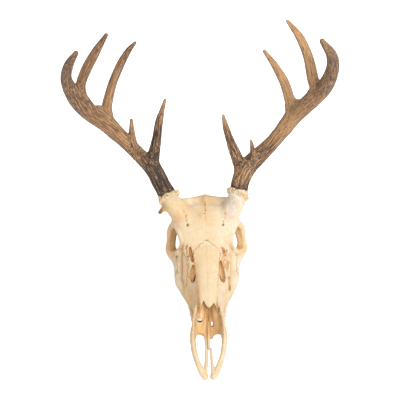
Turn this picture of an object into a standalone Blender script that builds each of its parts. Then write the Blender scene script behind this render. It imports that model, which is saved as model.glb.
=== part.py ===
# A deer skull with its antlers, at rest on its cheek teeth and on the two bony
# processes behind the ears.
#
# Sizes are in millimetres until place() turns them into metres. A place on the
# skull is (x, s, z): x to the animal's left, s back from the tip of the nose,
# z up from the plane that the skull rests on.

import math

import bmesh
import bpy
from mathutils import Vector

# Driving dimensions, in millimetres
MILLIMETRE = 0.001
CENTRE_X = -3.15  # the middle of the part's box, which is the model's origin
CENTRE_S = 200.88
REST_LEVEL = 0
SUTURE_GAP = 0.3
NOSE_LEAN = 1.2  # how far the nose tip is bent to the animal's right
NOSE_LEAN_FROM = 90

# The antlers are laid out in the axes of a living head, nose down by this angle
HEAD_TILT = math.radians(45)
RIGHT_BURR = (-53, 235, 132)
LEFT_BURR = (48, 235, 135)
PATH_STEP = 13
SQUARE_END = 2
ANTLER_BEVEL = 4
BASE_POINTS = 4  # points of the beam's path that run beside the pedicle

# Meshing
RING_POINTS = 28
TOOTH_POINTS = 12
BALL_DETAIL = 3
FIRST_VOXEL = 2.0
SECOND_VOXEL = 1.7
SKULL_KEEP = 0.0298
SHARP_ANGLE = math.radians(35)

BONE = ((0.80, 0.71, 0.56), 0.5)
TOOTH_ROW_X = ((104, 21.8), (125, 24.0), (150, 27.8), (177, 30.5))
TEETH = (  # length, half width of each cheek tooth, from the front
    (9.5, 3.6),
    (10.5, 4.4),
    (11.0, 5.0),
    (13.5, 6.0),
    (15.0, 6.6),
    (15.0, 6.2),
)
TEETH_START = 101


def place(x, s, z):
    """The world point, in metres, of a place on the skull."""
    lean = NOSE_LEAN * max(0, 1 - s / NOSE_LEAN_FROM)
    return Vector((x - CENTRE_X - lean, s - CENTRE_S, z)) * MILLIMETRE


def between(low, high, t):
    return low + (high - low) * t


def lookup(table, s):
    """The value at s in a table of (s, value), straight between its rows."""
    for (s0, v0), (s1, v1) in zip(table, table[1:]):
        if s <= s1:
            return between(v0, v1, max(0, (s - s0) / (s1 - s0)))
    return table[-1][1]


# Solids


def mesh_object(name, bm):
    mesh = bpy.data.meshes.new(name)
    bmesh.ops.recalc_face_normals(bm, faces=bm.faces)
    bm.to_mesh(mesh)
    bm.free()
    obj = bpy.data.objects.new(name, mesh)
    bpy.context.scene.collection.objects.link(obj)
    return obj


def add_loft(bm, rings):
    """A closed solid through rings that all have the same number of points."""
    loops = [[bm.verts.new(point) for point in ring] for ring in rings]
    for near, far in zip(loops, loops[1:]):
        for i in range(len(near)):
            bm.faces.new((near[i - 1], near[i], far[i], far[i - 1]))
    bm.faces.new(loops[0])
    bm.faces.new(list(reversed(loops[-1])))


def round_power(value, power):
    return math.copysign(abs(value) ** (2 / power), value)


def body_ring(s, bottom, top, half_bottom, half_top, power=2.6):
    """A cross-section of the skull at s, wider or narrower above than below."""
    ring = []
    for i in range(RING_POINTS):
        angle = 2 * math.pi * i / RING_POINTS
        across = round_power(math.cos(angle), power)
        rise = round_power(math.sin(angle), power)
        half = between(half_bottom, half_top, (rise + 1) / 2)
        ring.append(place(across * half, s, between(bottom, top, (rise + 1) / 2)))
    return ring


def add_body(bm, stations, power=2.6):
    add_loft(bm, [body_ring(*station, power) for station in stations])


def add_sweep(bm, stations, up=(0, 0, 1), closed=False):
    """An oval bar through (x, s, z, half across, half along up) stations."""
    points = [Vector(station[:3]) for station in stations]
    rings = []
    for i, station in enumerate(stations):
        after = points[(i + 1) % len(points)] if closed else points[min(i + 1, len(points) - 1)]
        before = points[i - 1] if closed else points[max(i - 1, 0)]
        tangent = (after - before).normalized()
        side = tangent.cross(Vector(up)).normalized()
        rise = side.cross(tangent)
        ring = []
        for k in range(RING_POINTS // 2):
            angle = 4 * math.pi * k / RING_POINTS
            offset = side * station[3] * math.cos(angle) + rise * station[4] * math.sin(angle)
            ring.append(place(*(points[i] + offset)))
        rings.append(ring)
    if not closed:
        add_loft(bm, rings)
        return
    loops = [[bm.verts.new(point) for point in ring] for ring in rings]
    for j, far in enumerate(loops):
        near = loops[j - 1]
        for i in range(len(near)):
            bm.faces.new((near[i - 1], near[i], far[i], far[i - 1]))


def add_ball(bm, centre, radii):
    made = bmesh.ops.create_icosphere(bm, subdivisions=BALL_DETAIL, radius=1)
    for vert in made["verts"]:
        vert.co = place(*(c + r * k for c, r, k in zip(centre, radii, vert.co)))


def add_block(bm, low, high):
    made = bmesh.ops.create_cube(bm, size=1)
    for vert in made["verts"]:
        vert.co = place(*(between(a, b, k + 0.5) for a, b, k in zip(low, high, vert.co)))


def both_sides(add, stations, *extra, **named):
    """Adds a shape on the left of the skull, and its mirror on the right."""
    for side in (1, -1):
        add([(side * station[0], *station[1:]) for station in stations], *extra, **named)


# The skull as one bone


def snout(bm):
    add_body(
        bm,
        (
            # s, bottom, top, half width below, half width above
            (60, 23, 40, 22, 21),
            (68, 21, 48, 23, 21),
            (75, 19, 53, 24, 20),
            (86, 16, 59, 25, 18),
            (96, 14, 65, 26, 16),
            (110, 13, 72, 27, 16.5),
            (122, 13, 77, 28.5, 18.5),
            (136, 13, 83, 33, 21),
            (150, 13, 90, 37.5, 23),
            (160, 14, 94, 39, 25),
            (170, 15, 98, 38, 30),
            (180, 20, 102, 33, 34),
        ),
        2.5,
    )
    flank = (
        (106, 19, 51, 26, 15),
        (122, 19, 61, 32, 22),
        (133, 20, 68, 38, 28),
        (145, 21, 75, 42.5, 32.5),
        (156, 24, 81, 45.5, 35),
        (166, 30, 86, 47, 37),
        (172, 34, 87, 48, 38),
    )
    add_body(bm, flank, 2.8)
    lacrimal_region = (
        (140, 36, 79, 34, 20),
        (151, 38, 87, 41, 23),
        (161, 42, 93, 44, 27),
        (169, 48, 97, 44.5, 32),
        (176, 54, 100, 45, 35),
    )
    add_body(bm, lacrimal_region, 3)
    for side in (1, -1):
        add_ball(bm, (side * 39.5, 167, 55), (8.4, 12, 13))


def premaxillae(bm):
    outer_bar = (
        (6, 1, 15, 3.8, 3.2),
        (9.2, 9, 16.5, 4.8, 3.6),
        (14, 19, 20, 4.6, 4.2),
        (18.8, 31, 25, 4, 5.6),
        (21.5, 44, 31, 3.7, 8),
        (22.4, 57, 36, 3.5, 11),
        (21.8, 67, 38, 3.3, 12),
    )
    both_sides(lambda stations: add_sweep(bm, stations), outer_bar)
    nasal_process = (
        (22.2, 60, 45, 2.8, 6),
        (21.2, 72, 52, 2.8, 6),
        (19.2, 84, 58, 3.2, 4.4),
        (17.5, 95, 63, 2.6, 3),
    )
    both_sides(lambda stations: add_sweep(bm, stations), nasal_process)
    palatine_process = (
        (6.0, 4, 15, 2.6, 2.8),
        (4.8, 18, 18, 2.0, 3),
        (4.2, 32, 20, 1.9, 3),
        (4.0, 44, 21, 1.9, 3),
    )
    both_sides(lambda stations: add_sweep(bm, stations), palatine_process)


def forehead(bm):
    add_body(
        bm,
        (
            (150, 74, 84, 26, 19),
            (160, 81, 92.6, 29.5, 24.5),
            (168, 84, 98, 36, 30),
            (178, 88, 103, 38, 34),
            (188, 92, 108, 39, 35),
            (198, 94, 113, 43, 37),
            (208, 93, 117.5, 50, 40),
            (216, 88, 120.5, 46, 41),
            (226, 80, 120, 41, 38),
            (238, 74, 114, 38, 33),
            (250, 72, 105, 34, 28),
        ),
        2.7,
    )


def braincase(bm):
    add_body(
        bm,
        (
            # the wall between the orbits comes first
            (172, 52, 96, 15, 20),
            (184, 52, 100, 14.5, 22),
            (194, 51, 105, 15, 25),
            (204, 46, 112, 20, 32),
            (217, 42, 116, 30, 37),
            (232, 41, 115, 38, 37),
            (246, 41, 106, 39, 36),
            (257, 41, 94, 37, 33),
            (266, 42, 82, 34, 31),
            (272, 46, 74, 29, 29),
            (276, 54, 68, 20, 24),
        ),
        2.3,
    )
    nuchal_crest = (
        (-36, 255, 53, 3, 4),
        (-34, 263, 64, 3, 5),
        (-20, 270, 71, 3.5, 4),
        (0, 273, 72.5, 4, 4),
        (20, 270, 71, 3.5, 4),
        (34, 263, 64, 3, 5),
        (36, 255, 53, 3, 4),
    )
    add_sweep(bm, nuchal_crest, up=(0, 1, 0))
    add_ball(bm, (0, 275, 68), (7, 4, 7))


def skull_base(bm):
    add_body(
        bm,
        (
            # the pterygoid region and the floor of the braincase
            (166, 16, 60, 26, 26),
            (176, 15, 60, 20, 25),
            (186, 15, 60, 14, 22),
            (196, 16, 60, 12, 19),
            (205, 22, 58, 11.5, 18),
            (214, 32, 58, 11, 20),
            (226, 38, 58, 11, 22),
            (244, 38, 58, 13, 24),
            (262, 38, 58, 16, 24),
            (272, 40, 58, 16, 22),
        ),
        3,
    )
    for side in (1, -1):
        add_ball(bm, (side * 21, 237, 36), (8.5, 13, 11))
        add_ball(bm, (side * 13.5, 277, 49), (9, 10.5, 13))
    ear_tube = ((22, 238, 44, 7, 7), (34, 242, 49, 6.5, 7), (41, 246, 53, 5.5, 5.5))
    both_sides(lambda stations: add_sweep(bm, stations), ear_tube)
    paracondylar_process = (
        (29, 257, 52, 7, 11),
        (31, 260, 34, 5, 9),
        (33, 262, 16, 3.6, 6.5),
        (33.5, 262, -2, 3.2, 4.6),
    )
    both_sides(lambda stations: add_sweep(bm, stations, up=(0, 1, 0)), paracondylar_process)


def cheeks(bm):
    cheek_and_arch = (
        # from the facial tuber back along the zygomatic arch to the braincase
        (25.4, 116, 33, 5, 8),
        (33.8, 133, 34, 6, 10),
        (39.6, 150, 36, 6.4, 12),
        (42, 165, 40, 5.6, 12),
        (45.4, 178, 46, 4.6, 9.5),
        (53.6, 191, 50, 4.2, 7.5),
        (54.4, 204, 53, 3.4, 6.5),
        (54.2, 218, 55, 3, 5.5),
        (51.4, 231, 56, 3.4, 5.5),
        (45.6, 241, 56, 4.4, 5.5),
        (36, 248, 57, 6, 7),
    )
    both_sides(lambda stations: add_sweep(bm, stations), cheek_and_arch)
    orbit_rim = (
        (38, 175, 88, 4, 3.4),
        (42, 177, 76, 4, 3.4),
        (46.2, 181, 65, 4, 3.4),
        (51.4, 187.5, 57.5, 4, 3.4),
        (56.4, 195, 54.5, 3.5, 3.2),
        (55.2, 203, 59, 3, 3),
        (53.6, 208.5, 69, 3, 3.5),
        (51.2, 212, 82, 3.6, 3.8),
        (47.2, 210.5, 95.5, 5, 3.8),
        (43.4, 205, 100, 5, 3.8),
        (40.2, 198, 100.5, 5, 3.6),
        (37, 188, 98.5, 5, 3.4),
        (35.5, 180, 95, 4, 3.4),
    )
    both_sides(lambda stations: add_sweep(bm, stations, up=(1, 0, 0), closed=True), orbit_rim)
    orbit_floor = ((35, 186, 60, 5, 4), (44, 188, 57, 5, 4), (51, 192, 54, 4, 4))
    both_sides(lambda stations: add_sweep(bm, stations), orbit_floor)
    orbit_shelf = (
        # the broad inner face of the rim, below the eye and up behind it
        (38, 164, 54, 5, 9),
        (42, 180, 53, 4.6, 9),
        (49.5, 192, 52, 4, 8),
        (52, 200, 54, 4.2, 7),
        (51.6, 207, 60, 4.2, 6),
        (51, 212, 70, 3.5, 6.6),
        (48, 214, 84, 3.2, 7.2),
        (43, 213, 98, 4, 7),
    )
    both_sides(lambda stations: add_sweep(bm, stations, up=(1, 0, 0)), orbit_shelf)


def tooth_centres():
    """(x, s, length, half width) of each cheek tooth of the left row."""
    s = TEETH_START
    rows = []
    for length, half in TEETH:
        rows.append((lookup(TOOTH_ROW_X, s + length / 2), s + length / 2, length, half))
        s += length
    return rows


def tooth_ring(x, s, z, half_x, half_s):
    """A squarish outline of a tooth at the height z."""
    ring = []
    for k in range(TOOTH_POINTS):
        angle = 2 * math.pi * k / TOOTH_POINTS
        across = round_power(math.cos(angle), 4) * half_x
        along = round_power(math.sin(angle), 4) * half_s
        ring.append(place(x + across, s + along, z))
    return ring


def teeth(bm):
    for side in (1, -1):
        for x, s, length, half in tooth_centres():
            outlines = (
                # share of the half width, what is added to the half length, height
                (0.92, -0.6, REST_LEVEL - 2),
                (0.96, -0.6, 3),
                (1, -0.2, 10),
                (0.95, 0.4, 20),
            )
            rings = []
            for share, more, z in outlines:
                rings.append(tooth_ring(side * x, s, z, half * share, length / 2 + more))
            add_loft(bm, rings)


def pedicles(bm):
    for side, burr in ((-1, RIGHT_BURR), (1, LEFT_BURR)):
        x, s, z = burr
        stations = (
            (side * 33, 217, 106, 15, 15),
            (side * 40, 224, 115, 14.5, 14.5),
            (between(side * 40, x, 0.65), 230.5, between(115, z, 0.65), 13.5, 13.5),
            (x, s, z, 14.8, 14.8),
        )
        add_sweep(bm, stations)
    add_sweep(bm, ((-50, 227, 125, 4, 4), (-58, 225, 124, 3.4, 3.6), (-64, 223, 123.5, 2.6, 3)))


def hollows(bm):
    """What is cut from the skull: cavities, windows and canals."""
    nasal_cavity = (
        (30, 27, 70, 12, 14),
        (52, 27, 78, 17, 17),
        (66, 27, 80, 18.5, 18),
        (85, 27, 80, 19, 16),
        (93, 27, 59, 18.5, 11),
        (104, 27, 62.5, 19.5, 11.5),
        (120, 28, 68.5, 22, 13),
        (136, 30, 75, 22, 14),
        (148, 36, 79, 18, 11),
        (158, 44, 80, 10, 8),
    )
    add_body(bm, nasal_cavity, 3)
    palate_vault = (
        (70, 5, 19, 14, 8),
        (90, 4, 22, 16, 9),
        (110, 2, 24, 18, 10),
        (130, 2, 25, 19.5, 11),
        (150, 2, 25, 22, 12),
        (168, 2, 25, 24, 13),
    )
    add_body(bm, palate_vault, 3)
    choanae = ((160, 0, 30, 12, 6), (176, 4, 44, 9, 7), (196, 8, 46, 7, 6), (212, 20, 42, 6, 4))
    add_body(bm, choanae, 3)
    add_ball(bm, (0, 279, 52), (8.5, 12, 9))
    windows = (
        # centre, radii
        ((20.6, 141, 76), (4.4, 11, 15)),
        ((22.8, 163, 92), (2.8, 8, 9)),
        ((25.6, 199.5, 115), (2.2, 2.8, 7)),
        ((28, 98, 34), (5, 4, 3.4)),
    )
    for (x, s, z), radii in windows:
        add_ball(bm, (x, s, z), radii)
        add_ball(bm, (-x, s, z), radii)
    fissure = (
        # the long opening of the palate between the bars of each premaxilla
        (10, 14, 18, 4.5, 12),
        (11.6, 30, 22, 6, 14),
        (13, 48, 24, 6, 14),
        (12, 66, 26, 5, 10),
    )
    both_sides(lambda stations: add_sweep(bm, stations), fissure)


def helper(obj):
    """Marks a guide or a cutter, which isn't part of the skull."""
    obj.hide_render = True
    obj.display_type = "WIRE"
    return obj


def add_modifier(obj, kind, **settings):
    modifier = obj.modifiers.new(kind.title(), kind)
    for name, value in settings.items():
        setattr(modifier, name, value)
    return modifier


def apply_modifiers(obj):
    """Bakes the modifiers of obj into its mesh."""
    bpy.context.view_layer.update()
    graph = bpy.context.evaluated_depsgraph_get()
    baked = bpy.data.meshes.new_from_object(obj.evaluated_get(graph))
    obj.modifiers.clear()
    obj.data = baked
    return obj


def whole_skull():
    bm = bmesh.new()
    for add in (snout, premaxillae, forehead, braincase, skull_base, cheeks, teeth, pedicles):
        add(bm)
    skull = helper(mesh_object("skull_form", bm))
    add_modifier(skull, "REMESH", mode="VOXEL", voxel_size=FIRST_VOXEL * MILLIMETRE)
    apply_modifiers(skull)
    bm = bmesh.new()
    hollows(bm)
    hollow = helper(mesh_object("hollow_form", bm))
    add_modifier(hollow, "REMESH", mode="VOXEL", voxel_size=FIRST_VOXEL * MILLIMETRE)
    apply_modifiers(hollow)
    add_modifier(skull, "BOOLEAN", operation="DIFFERENCE", object=hollow, solver="EXACT")
    add_modifier(skull, "REMESH", mode="VOXEL", voxel_size=SECOND_VOXEL * MILLIMETRE)
    add_modifier(skull, "SMOOTH", factor=0.5, iterations=2)
    add_modifier(skull, "DECIMATE", ratio=SKULL_KEEP)
    apply_modifiers(skull)
    keep_largest(skull)
    return skull


# Sutures

BONE_BLOCKS = {
    # the space of each pair of bones, in the order that they are parted:
    # s, inner x, outer x, lowest z, highest z
    "nasal": (
        (76, 0, 12.6, 48, 130),
        (104, 0, 13.2, 63.5, 130),
        (124, 0, 16, 71.5, 130),
        (144, 0, 17.2, 78, 130),
        (162, 0, 17, 85, 130),
        (178, 0, 1.5, 90, 130),
    ),
    "premaxilla": (
        (-9, 0, 60, -9, 90),
        (55, 0, 60, 2, 90),
        (63, 0, 60, 32, 90),
        (74, 0, 60, 45, 90),
        (98, 0, 60, 71, 90),
    ),
    "frontal": (
        (162, 0, 75, 84, 160),
        (174, 0, 75, 86.5, 160),
        (192, 0, 75, 93, 160),
        (246, 0, 75, 94, 160),
    ),
    "zygomatic": (
        (156, 43, 75, 20, 66),
        (180, 43, 75, 20, 66),
        (192, 43, 75, 20, 99),
        (227, 43, 75, 20, 99),
    ),
    "maxilla": ((40, 0, 75, -9, 99), (182, 0, 75, -9, 99)),
}
HALF_BLOCK = ((-9, 0, 80, -9, 170), (300, 0, 80, -9, 170))


def bone_block(stations, side, grow=0):
    """The space of a bone, as a closed solid, with grow added all round.

    Side 1 is the left, -1 the right, and 0 both halves across the midline.
    """
    rings = []
    last = len(stations) - 1
    for i, (s, inner, outer, low, high) in enumerate(stations):
        at = s - grow * (i == 0) + grow * (i == last)
        near = side * (inner - grow) if side else -outer - grow
        far = (side or 1) * (outer + grow)
        corners = ((near, low - grow), (far, low - grow), (far, high + grow), (near, high + grow))
        rings.append([place(x, at, z) for x, z in corners])
    bm = bmesh.new()
    add_loft(bm, rings)
    bmesh.ops.triangulate(bm, faces=bm.faces)
    return helper(mesh_object("bone_block", bm))


def cut_away(obj, cutter, operation="DIFFERENCE"):
    add_modifier(obj, "BOOLEAN", operation=operation, object=cutter, solver="EXACT")
    return apply_modifiers(obj)


def islands(bm):
    """The lists of faces of bm that hang together."""
    seen = set()
    for first in bm.faces:
        if first in seen:
            continue
        seen.add(first)
        found = [first]
        for face in found:
            for edge in face.edges:
                for other in edge.link_faces:
                    if other not in seen:
                        seen.add(other)
                        found.append(other)
        yield found


def keep_largest(obj):
    """Leaves one closed body: the bone, without the slivers along its cuts."""
    bm = bmesh.new()
    bm.from_mesh(obj.data)
    found = sorted(islands(bm), key=len)
    for crumb in found[:-1]:
        bmesh.ops.delete(bm, geom=crumb, context="FACES")
    bmesh.ops.delete(bm, geom=[v for v in bm.verts if not v.link_faces], context="VERTS")
    bm.to_mesh(obj.data)
    bm.free()


def cut_by_block(obj, operation, stations, side, grow=0):
    block = bone_block(stations, side, grow)
    cut_away(obj, block, operation)
    bpy.data.objects.remove(block)


def taken_from(skull, stations, side):
    """The bone in this space, which is cut out of the skull with a gap around it."""
    bone = bpy.data.objects.new("bone", skull.data.copy())
    bpy.context.scene.collection.objects.link(bone)
    cut_by_block(bone, "INTERSECT", stations, side)
    cut_by_block(skull, "DIFFERENCE", stations, side, SUTURE_GAP)
    return bone


def part_bones(skull):
    """Parts the skull into its bones, with a gap along each suture."""
    bones = {}
    for kind, stations in BONE_BLOCKS.items():
        if stations[0][1]:
            bones[kind + "_left"] = taken_from(skull, stations, 1)
            bones[kind + "_right"] = taken_from(skull, stations, -1)
            continue
        right = taken_from(skull, stations, 0)
        bones[kind + "_left"] = taken_from(right, HALF_BLOCK, 1)
        bones[kind + "_right"] = right
    bones["braincase"] = skull
    for bone in bones.values():
        keep_largest(bone)
    return bones


# Antlers

ANTLERS = {
    # each station is (out, up, forward, radius) from the burr, in the living head's axes
    "right": {
        "burr": RIGHT_BURR,
        "side": -1,
        "burr_radii": (17, 4.6),
        "forks": (82, 120),
        "beam": (
            (1, 3.5, 0, 13.2),
            (8.4, 16.8, -6, 12.6),
            (19.8, 39.5, -14, 12.5),
            (38.3, 59.6, -16.2, 10.4),
            (56.3, 79.7, -13, 10.9),
            (81.6, 107.5, 6, 11.6),
            (106, 133, 37, 12.1),
            (120.4, 158, 75, 11.9),
            (129, 186.3, 117, 8),
            (122.2, 209.5, 153, 6.6),
            (109.2, 228.5, 185, 3.4),
        ),
        "brow_tine": (
            (24, 49, -15, 8.6),
            (14.2, 82, -10, 6.6),
            (8.8, 111, -3, 5.3),
            (0, 142, 5, 2.1),
        ),
        "small_tine": (
            (46, 68, -9, 6.6),
            (48.6, 84, -7.5, 5.4),
            (49.4, 98, -7.5, 3.8),
            (49.4, 112.5, -9, 1.9),
        ),
        "second_tine": (
            (81.5, 114, 4, 8),
            (82.8, 128, 4.5, 7.4),
            (80.6, 141, 3, 7.3),
            (74.2, 167, -2, 6.9),
            (62.2, 192.3, -9, 5.8),
            (50.3, 211.6, -11, 4.4),
            (40, 223, -9, 2.2),
        ),
        "third_tine": (
            (111, 158, 67, 8.2),
            (111.8, 176.7, 84, 7.2),
            (103, 199, 88, 6.6),
            (89.9, 220.6, 92, 5.8),
            (74.6, 243.5, 97, 2.8),
        ),
    },
    "left": {
        "burr": LEFT_BURR,
        "side": 1,
        "burr_radii": (16.5, 4.6),
        "forks": (79, 118),
        "beam": (
            (0.4, 3, 0, 12.6),
            (3.6, 18, -6, 12.5),
            (13, 35.5, -13, 12.7),
            (30.1, 52.2, -15.6, 11.5),
            (52, 73.1, -12.4, 10.4),
            (78.6, 108.3, 5, 11),
            (102, 137, 37, 11.7),
            (119.3, 160.8, 73, 10.8),
            (126.8, 187.5, 117, 8.7),
            (122.5, 210.5, 153, 7.8),
            (108, 233, 184, 3.7),
        ),
        "brow_tine": (
            (10, 34, -13, 8.2),
            (-1.7, 55.2, -8, 7.2),
            (-10.2, 78, -5, 5.9),
            (-19, 115, 2, 2),
        ),
        "small_tine": (
            (21.5, 44, -6.5, 5.6),
            (22, 58, -5, 4.2),
            (21.6, 67, -6, 3.2),
            (20, 76.8, -8, 1.6),
        ),
        "second_tine": (
            (77.5, 112, 4, 8),
            (77.4, 126, 4.5, 7.6),
            (75, 138, 4, 7.4),
            (68.4, 160.4, -1, 6.9),
            (56, 183.4, -7, 5.1),
            (41.7, 203.8, -9, 2.6),
        ),
        "third_tine": (
            (108.6, 155.5, 56, 8.6),
            (105.7, 172, 65, 7.6),
            (98.8, 201.7, 69, 6.8),
            (86.8, 229, 70, 5.7),
            (70.4, 251.5, 73, 2.5),
        ),
    },
}

ANTLER_FINISH = {
    "base": ((0.20, 0.12, 0.07), 0.6),
    "brow_tine": ((0.24, 0.15, 0.09), 0.55),
    "small_tine": ((0.26, 0.16, 0.10), 0.55),
    "middle": ((0.34, 0.21, 0.12), 0.5),
    "second_tine": ((0.42, 0.28, 0.17), 0.45),
    "third_tine": ((0.45, 0.31, 0.19), 0.45),
    "tip": ((0.42, 0.30, 0.19), 0.45),
}


def antler_point(antler, station):
    """The skull place (x, s, z) of a station, with its radius."""
    out, up, forward, radius = station
    x, s, z = antler["burr"]
    back = up * math.sin(HEAD_TILT) - forward * math.cos(HEAD_TILT)
    rise = up * math.cos(HEAD_TILT) + forward * math.sin(HEAD_TILT)
    return Vector((x + antler["side"] * out, s + back, z + rise, radius))


def smooth_path(points):
    """Points about PATH_STEP apart on a smooth curve through the stations."""
    ends = [2 * points[0] - points[1], *points, 2 * points[-1] - points[-2]]
    path = []
    for p0, p1, p2, p3 in zip(ends, ends[1:], ends[2:], ends[3:]):
        count = max(1, round((p2 - p1).length / PATH_STEP))
        for i in range(count):
            t = i / count
            path.append(
                0.5 * (2 * p1 + (p2 - p0) * t + (2 * p0 - 5 * p1 + 4 * p2 - p3) * t**2)
                + 0.5 * (3 * p1 - p0 - 3 * p2 + p3) * t**3
            )
    path.append(points[-1])
    return path


def longer(path, grow):
    """The path with grow added at each end and to the radius all along."""
    points = [Vector(point) for point in path]
    for end, inner in ((0, 1), (-1, -2)):
        step = Vector((*(points[end] - points[inner])[:3], 0)).normalized()
        points[end] += step * grow
    return [point + Vector((0, 0, 0, grow)) for point in points]


def tube(name, path, grow=0):
    """A round bar with closed ends along (x, s, z, radius) points, as a mesh."""
    curve = bpy.data.curves.new(name + "_line", "CURVE")
    curve.dimensions = "3D"
    curve.bevel_depth = MILLIMETRE
    curve.bevel_resolution = ANTLER_BEVEL
    curve.use_fill_caps = True
    spline = curve.splines.new("POLY")
    spline.points.add(len(path) - 1)
    for point, (x, s, z, radius) in zip(spline.points, longer(path, grow)):
        point.co = (*place(x, s, z), 1)
        point.radius = radius
    line = bpy.data.objects.new(name + "_line", curve)
    bpy.context.scene.collection.objects.link(line)
    bpy.context.view_layer.update()
    graph = bpy.context.evaluated_depsgraph_get()
    bm = bmesh.new()
    bm.from_mesh(line.evaluated_get(graph).to_mesh())
    bmesh.ops.remove_doubles(bm, verts=bm.verts, dist=1e-6)
    line.evaluated_get(graph).to_mesh_clear()
    bpy.data.objects.remove(line)
    return mesh_object(name, bm)


def burr_path(antler, path):
    """A short thick disc round the foot of the beam."""
    radius, half = antler["burr_radii"]
    middle = Vector(path[0][:3])
    axis = (Vector(path[1][:3]) - middle).normalized()
    disc = ((-0.35, 0.78), (0, 0.95), (0.5, 1.0), (1, 0.9), (1.5, 0.66))
    return [(*(middle + axis * half * along), radius * share) for along, share in disc]


def split_beam(path, antler):
    """The beam's path in three lengths, with square ends, parted just past the main forks."""
    parts = []
    start = []
    reach = [antler["side"] * (point[0] - antler["burr"][0]) for point in path]
    last = 0
    for fork in antler["forks"]:
        cut = next(i for i, out in enumerate(reach) if out > fork) + 2
        tangent = path[cut + 1] - path[cut - 1]
        tangent = Vector((*tangent[:3], 0)).normalized()
        inset = [tangent * distance for distance in (SUTURE_GAP / 2, SQUARE_END)]
        parts.append(start + path[last:cut] + [path[cut] - inset[1], path[cut] - inset[0]])
        start = [path[cut] + inset[0], path[cut] + inset[1]]
        last = cut + 1
    parts.append(start + path[last:])
    return parts


def join(obj, others):
    """The Boolean union of obj and others."""
    for other in others:
        add_modifier(obj, "BOOLEAN", operation="UNION", object=other, solver="EXACT")
    apply_modifiers(obj)
    for other in others:
        bpy.data.objects.remove(other)
    return obj


def make_antler(name, antler):
    """The seven lengths of one antler, by node name."""
    beam = smooth_path([antler_point(antler, station) for station in antler["beam"]])
    base, middle, tip = split_beam(beam, antler)
    burr = tube("burr_form", burr_path(antler, base))
    parts = {
        "base": join(tube("base_form", base), [burr]),
        "middle": tube("middle_form", middle),
        "tip": tube("tip_form", tip),
    }
    clearances = [helper(tube("clearance", path, SUTURE_GAP)) for path in (base, middle, tip)]
    for kind in ("brow_tine", "small_tine", "second_tine", "third_tine"):
        stations = [antler_point(antler, station) for station in antler[kind]]
        parts[kind] = tube(kind + "_form", smooth_path(stations))
        for clearance in clearances:
            cut_away(parts[kind], clearance)
    for kind, obj in parts.items():
        obj.name = "antler_" + name + "_" + kind
    return parts


# Finish


def material(name, colour, roughness):
    made = bpy.data.materials.new(name)
    made.use_nodes = True
    shader = made.node_tree.nodes["Principled BSDF"]
    shader.inputs["Base Color"].default_value = (*colour, 1)
    shader.inputs["Roughness"].default_value = roughness
    shader.inputs["Metallic"].default_value = 0
    made.diffuse_color = (*colour, 1)
    return made


def finish(obj, name, colour, roughness):
    obj.name = name
    obj.hide_render = False
    obj.display_type = "SOLID"
    obj.data.materials.clear()
    obj.data.materials.append(material(name, colour, roughness))
    obj.data.shade_smooth()
    obj.data.set_sharp_from_angle(angle=SHARP_ANGLE)


VOMER = (
    (0, 47, 22, 3.2, 3.0),
    (0, 60, 26, 3.4, 4.5),
    (0, 78, 31, 3.4, 6.5),
    (0, 98, 36, 3.0, 9.5),
    (0, 116, 42, 2.6, 13),
)
VOMER_END_ROOM = 3  # free space behind the vomer's rear end


def make_vomer(name, grow=0, room=0):
    """The upright blade in the middle of the nose, or with grow the space around it."""
    stations = [(x, s, z, half + grow, rise + grow) for x, s, z, half, rise in VOMER]
    if room:
        x, s, z, half, rise = stations[-1]
        stations.append((x, s + room, z + room / 2, half, rise))
    bm = bmesh.new()
    add_sweep(bm, stations)
    return mesh_object(name, bm)


def make_part():
    for obj in list(bpy.data.objects):
        bpy.data.objects.remove(obj)
    skull = whole_skull()
    vomer = make_vomer("vomer")
    antlers = {name: make_antler(name, antler) for name, antler in ANTLERS.items()}
    cutters = [helper(make_vomer("vomer_clearance", SUTURE_GAP, VOMER_END_ROOM))]
    for name, antler in ANTLERS.items():
        beam = smooth_path([antler_point(antler, station) for station in antler["beam"]])
        burr = burr_path(antler, beam)
        cutters.append(helper(tube("burr_clearance_" + name, burr, SUTURE_GAP)))
        cutters.append(helper(tube("beam_clearance_" + name, beam[:BASE_POINTS], SUTURE_GAP)))
    bm = bmesh.new()
    add_block(bm, (-80, 0, -60), (80, 300, REST_LEVEL))
    cutters.append(helper(mesh_object("rest_plane", bm)))
    for cutter in cutters:
        cut_away(skull, cutter)
    for name, bone in part_bones(skull).items():
        finish(bone, name, *BONE)
    finish(vomer, "vomer", *BONE)
    for name, parts in antlers.items():
        for kind, obj in parts.items():
            finish(obj, "antler_" + name + "_" + kind, *ANTLER_FINISH[kind])


make_part()
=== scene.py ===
import math

import bpy
import numpy as np
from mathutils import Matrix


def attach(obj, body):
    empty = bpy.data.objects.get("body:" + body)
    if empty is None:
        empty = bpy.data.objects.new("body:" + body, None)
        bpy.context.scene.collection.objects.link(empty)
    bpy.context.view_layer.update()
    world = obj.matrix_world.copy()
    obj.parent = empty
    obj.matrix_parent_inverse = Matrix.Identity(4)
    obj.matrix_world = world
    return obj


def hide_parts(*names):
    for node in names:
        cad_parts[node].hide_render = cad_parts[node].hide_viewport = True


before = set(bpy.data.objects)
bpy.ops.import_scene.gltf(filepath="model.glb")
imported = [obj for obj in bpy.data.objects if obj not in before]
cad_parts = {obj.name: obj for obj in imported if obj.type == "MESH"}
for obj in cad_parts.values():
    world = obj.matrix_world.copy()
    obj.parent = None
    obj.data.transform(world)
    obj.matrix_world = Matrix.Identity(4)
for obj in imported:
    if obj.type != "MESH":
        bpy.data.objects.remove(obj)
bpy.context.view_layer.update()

import openvdb
from mathutils import Matrix, Vector

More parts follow.
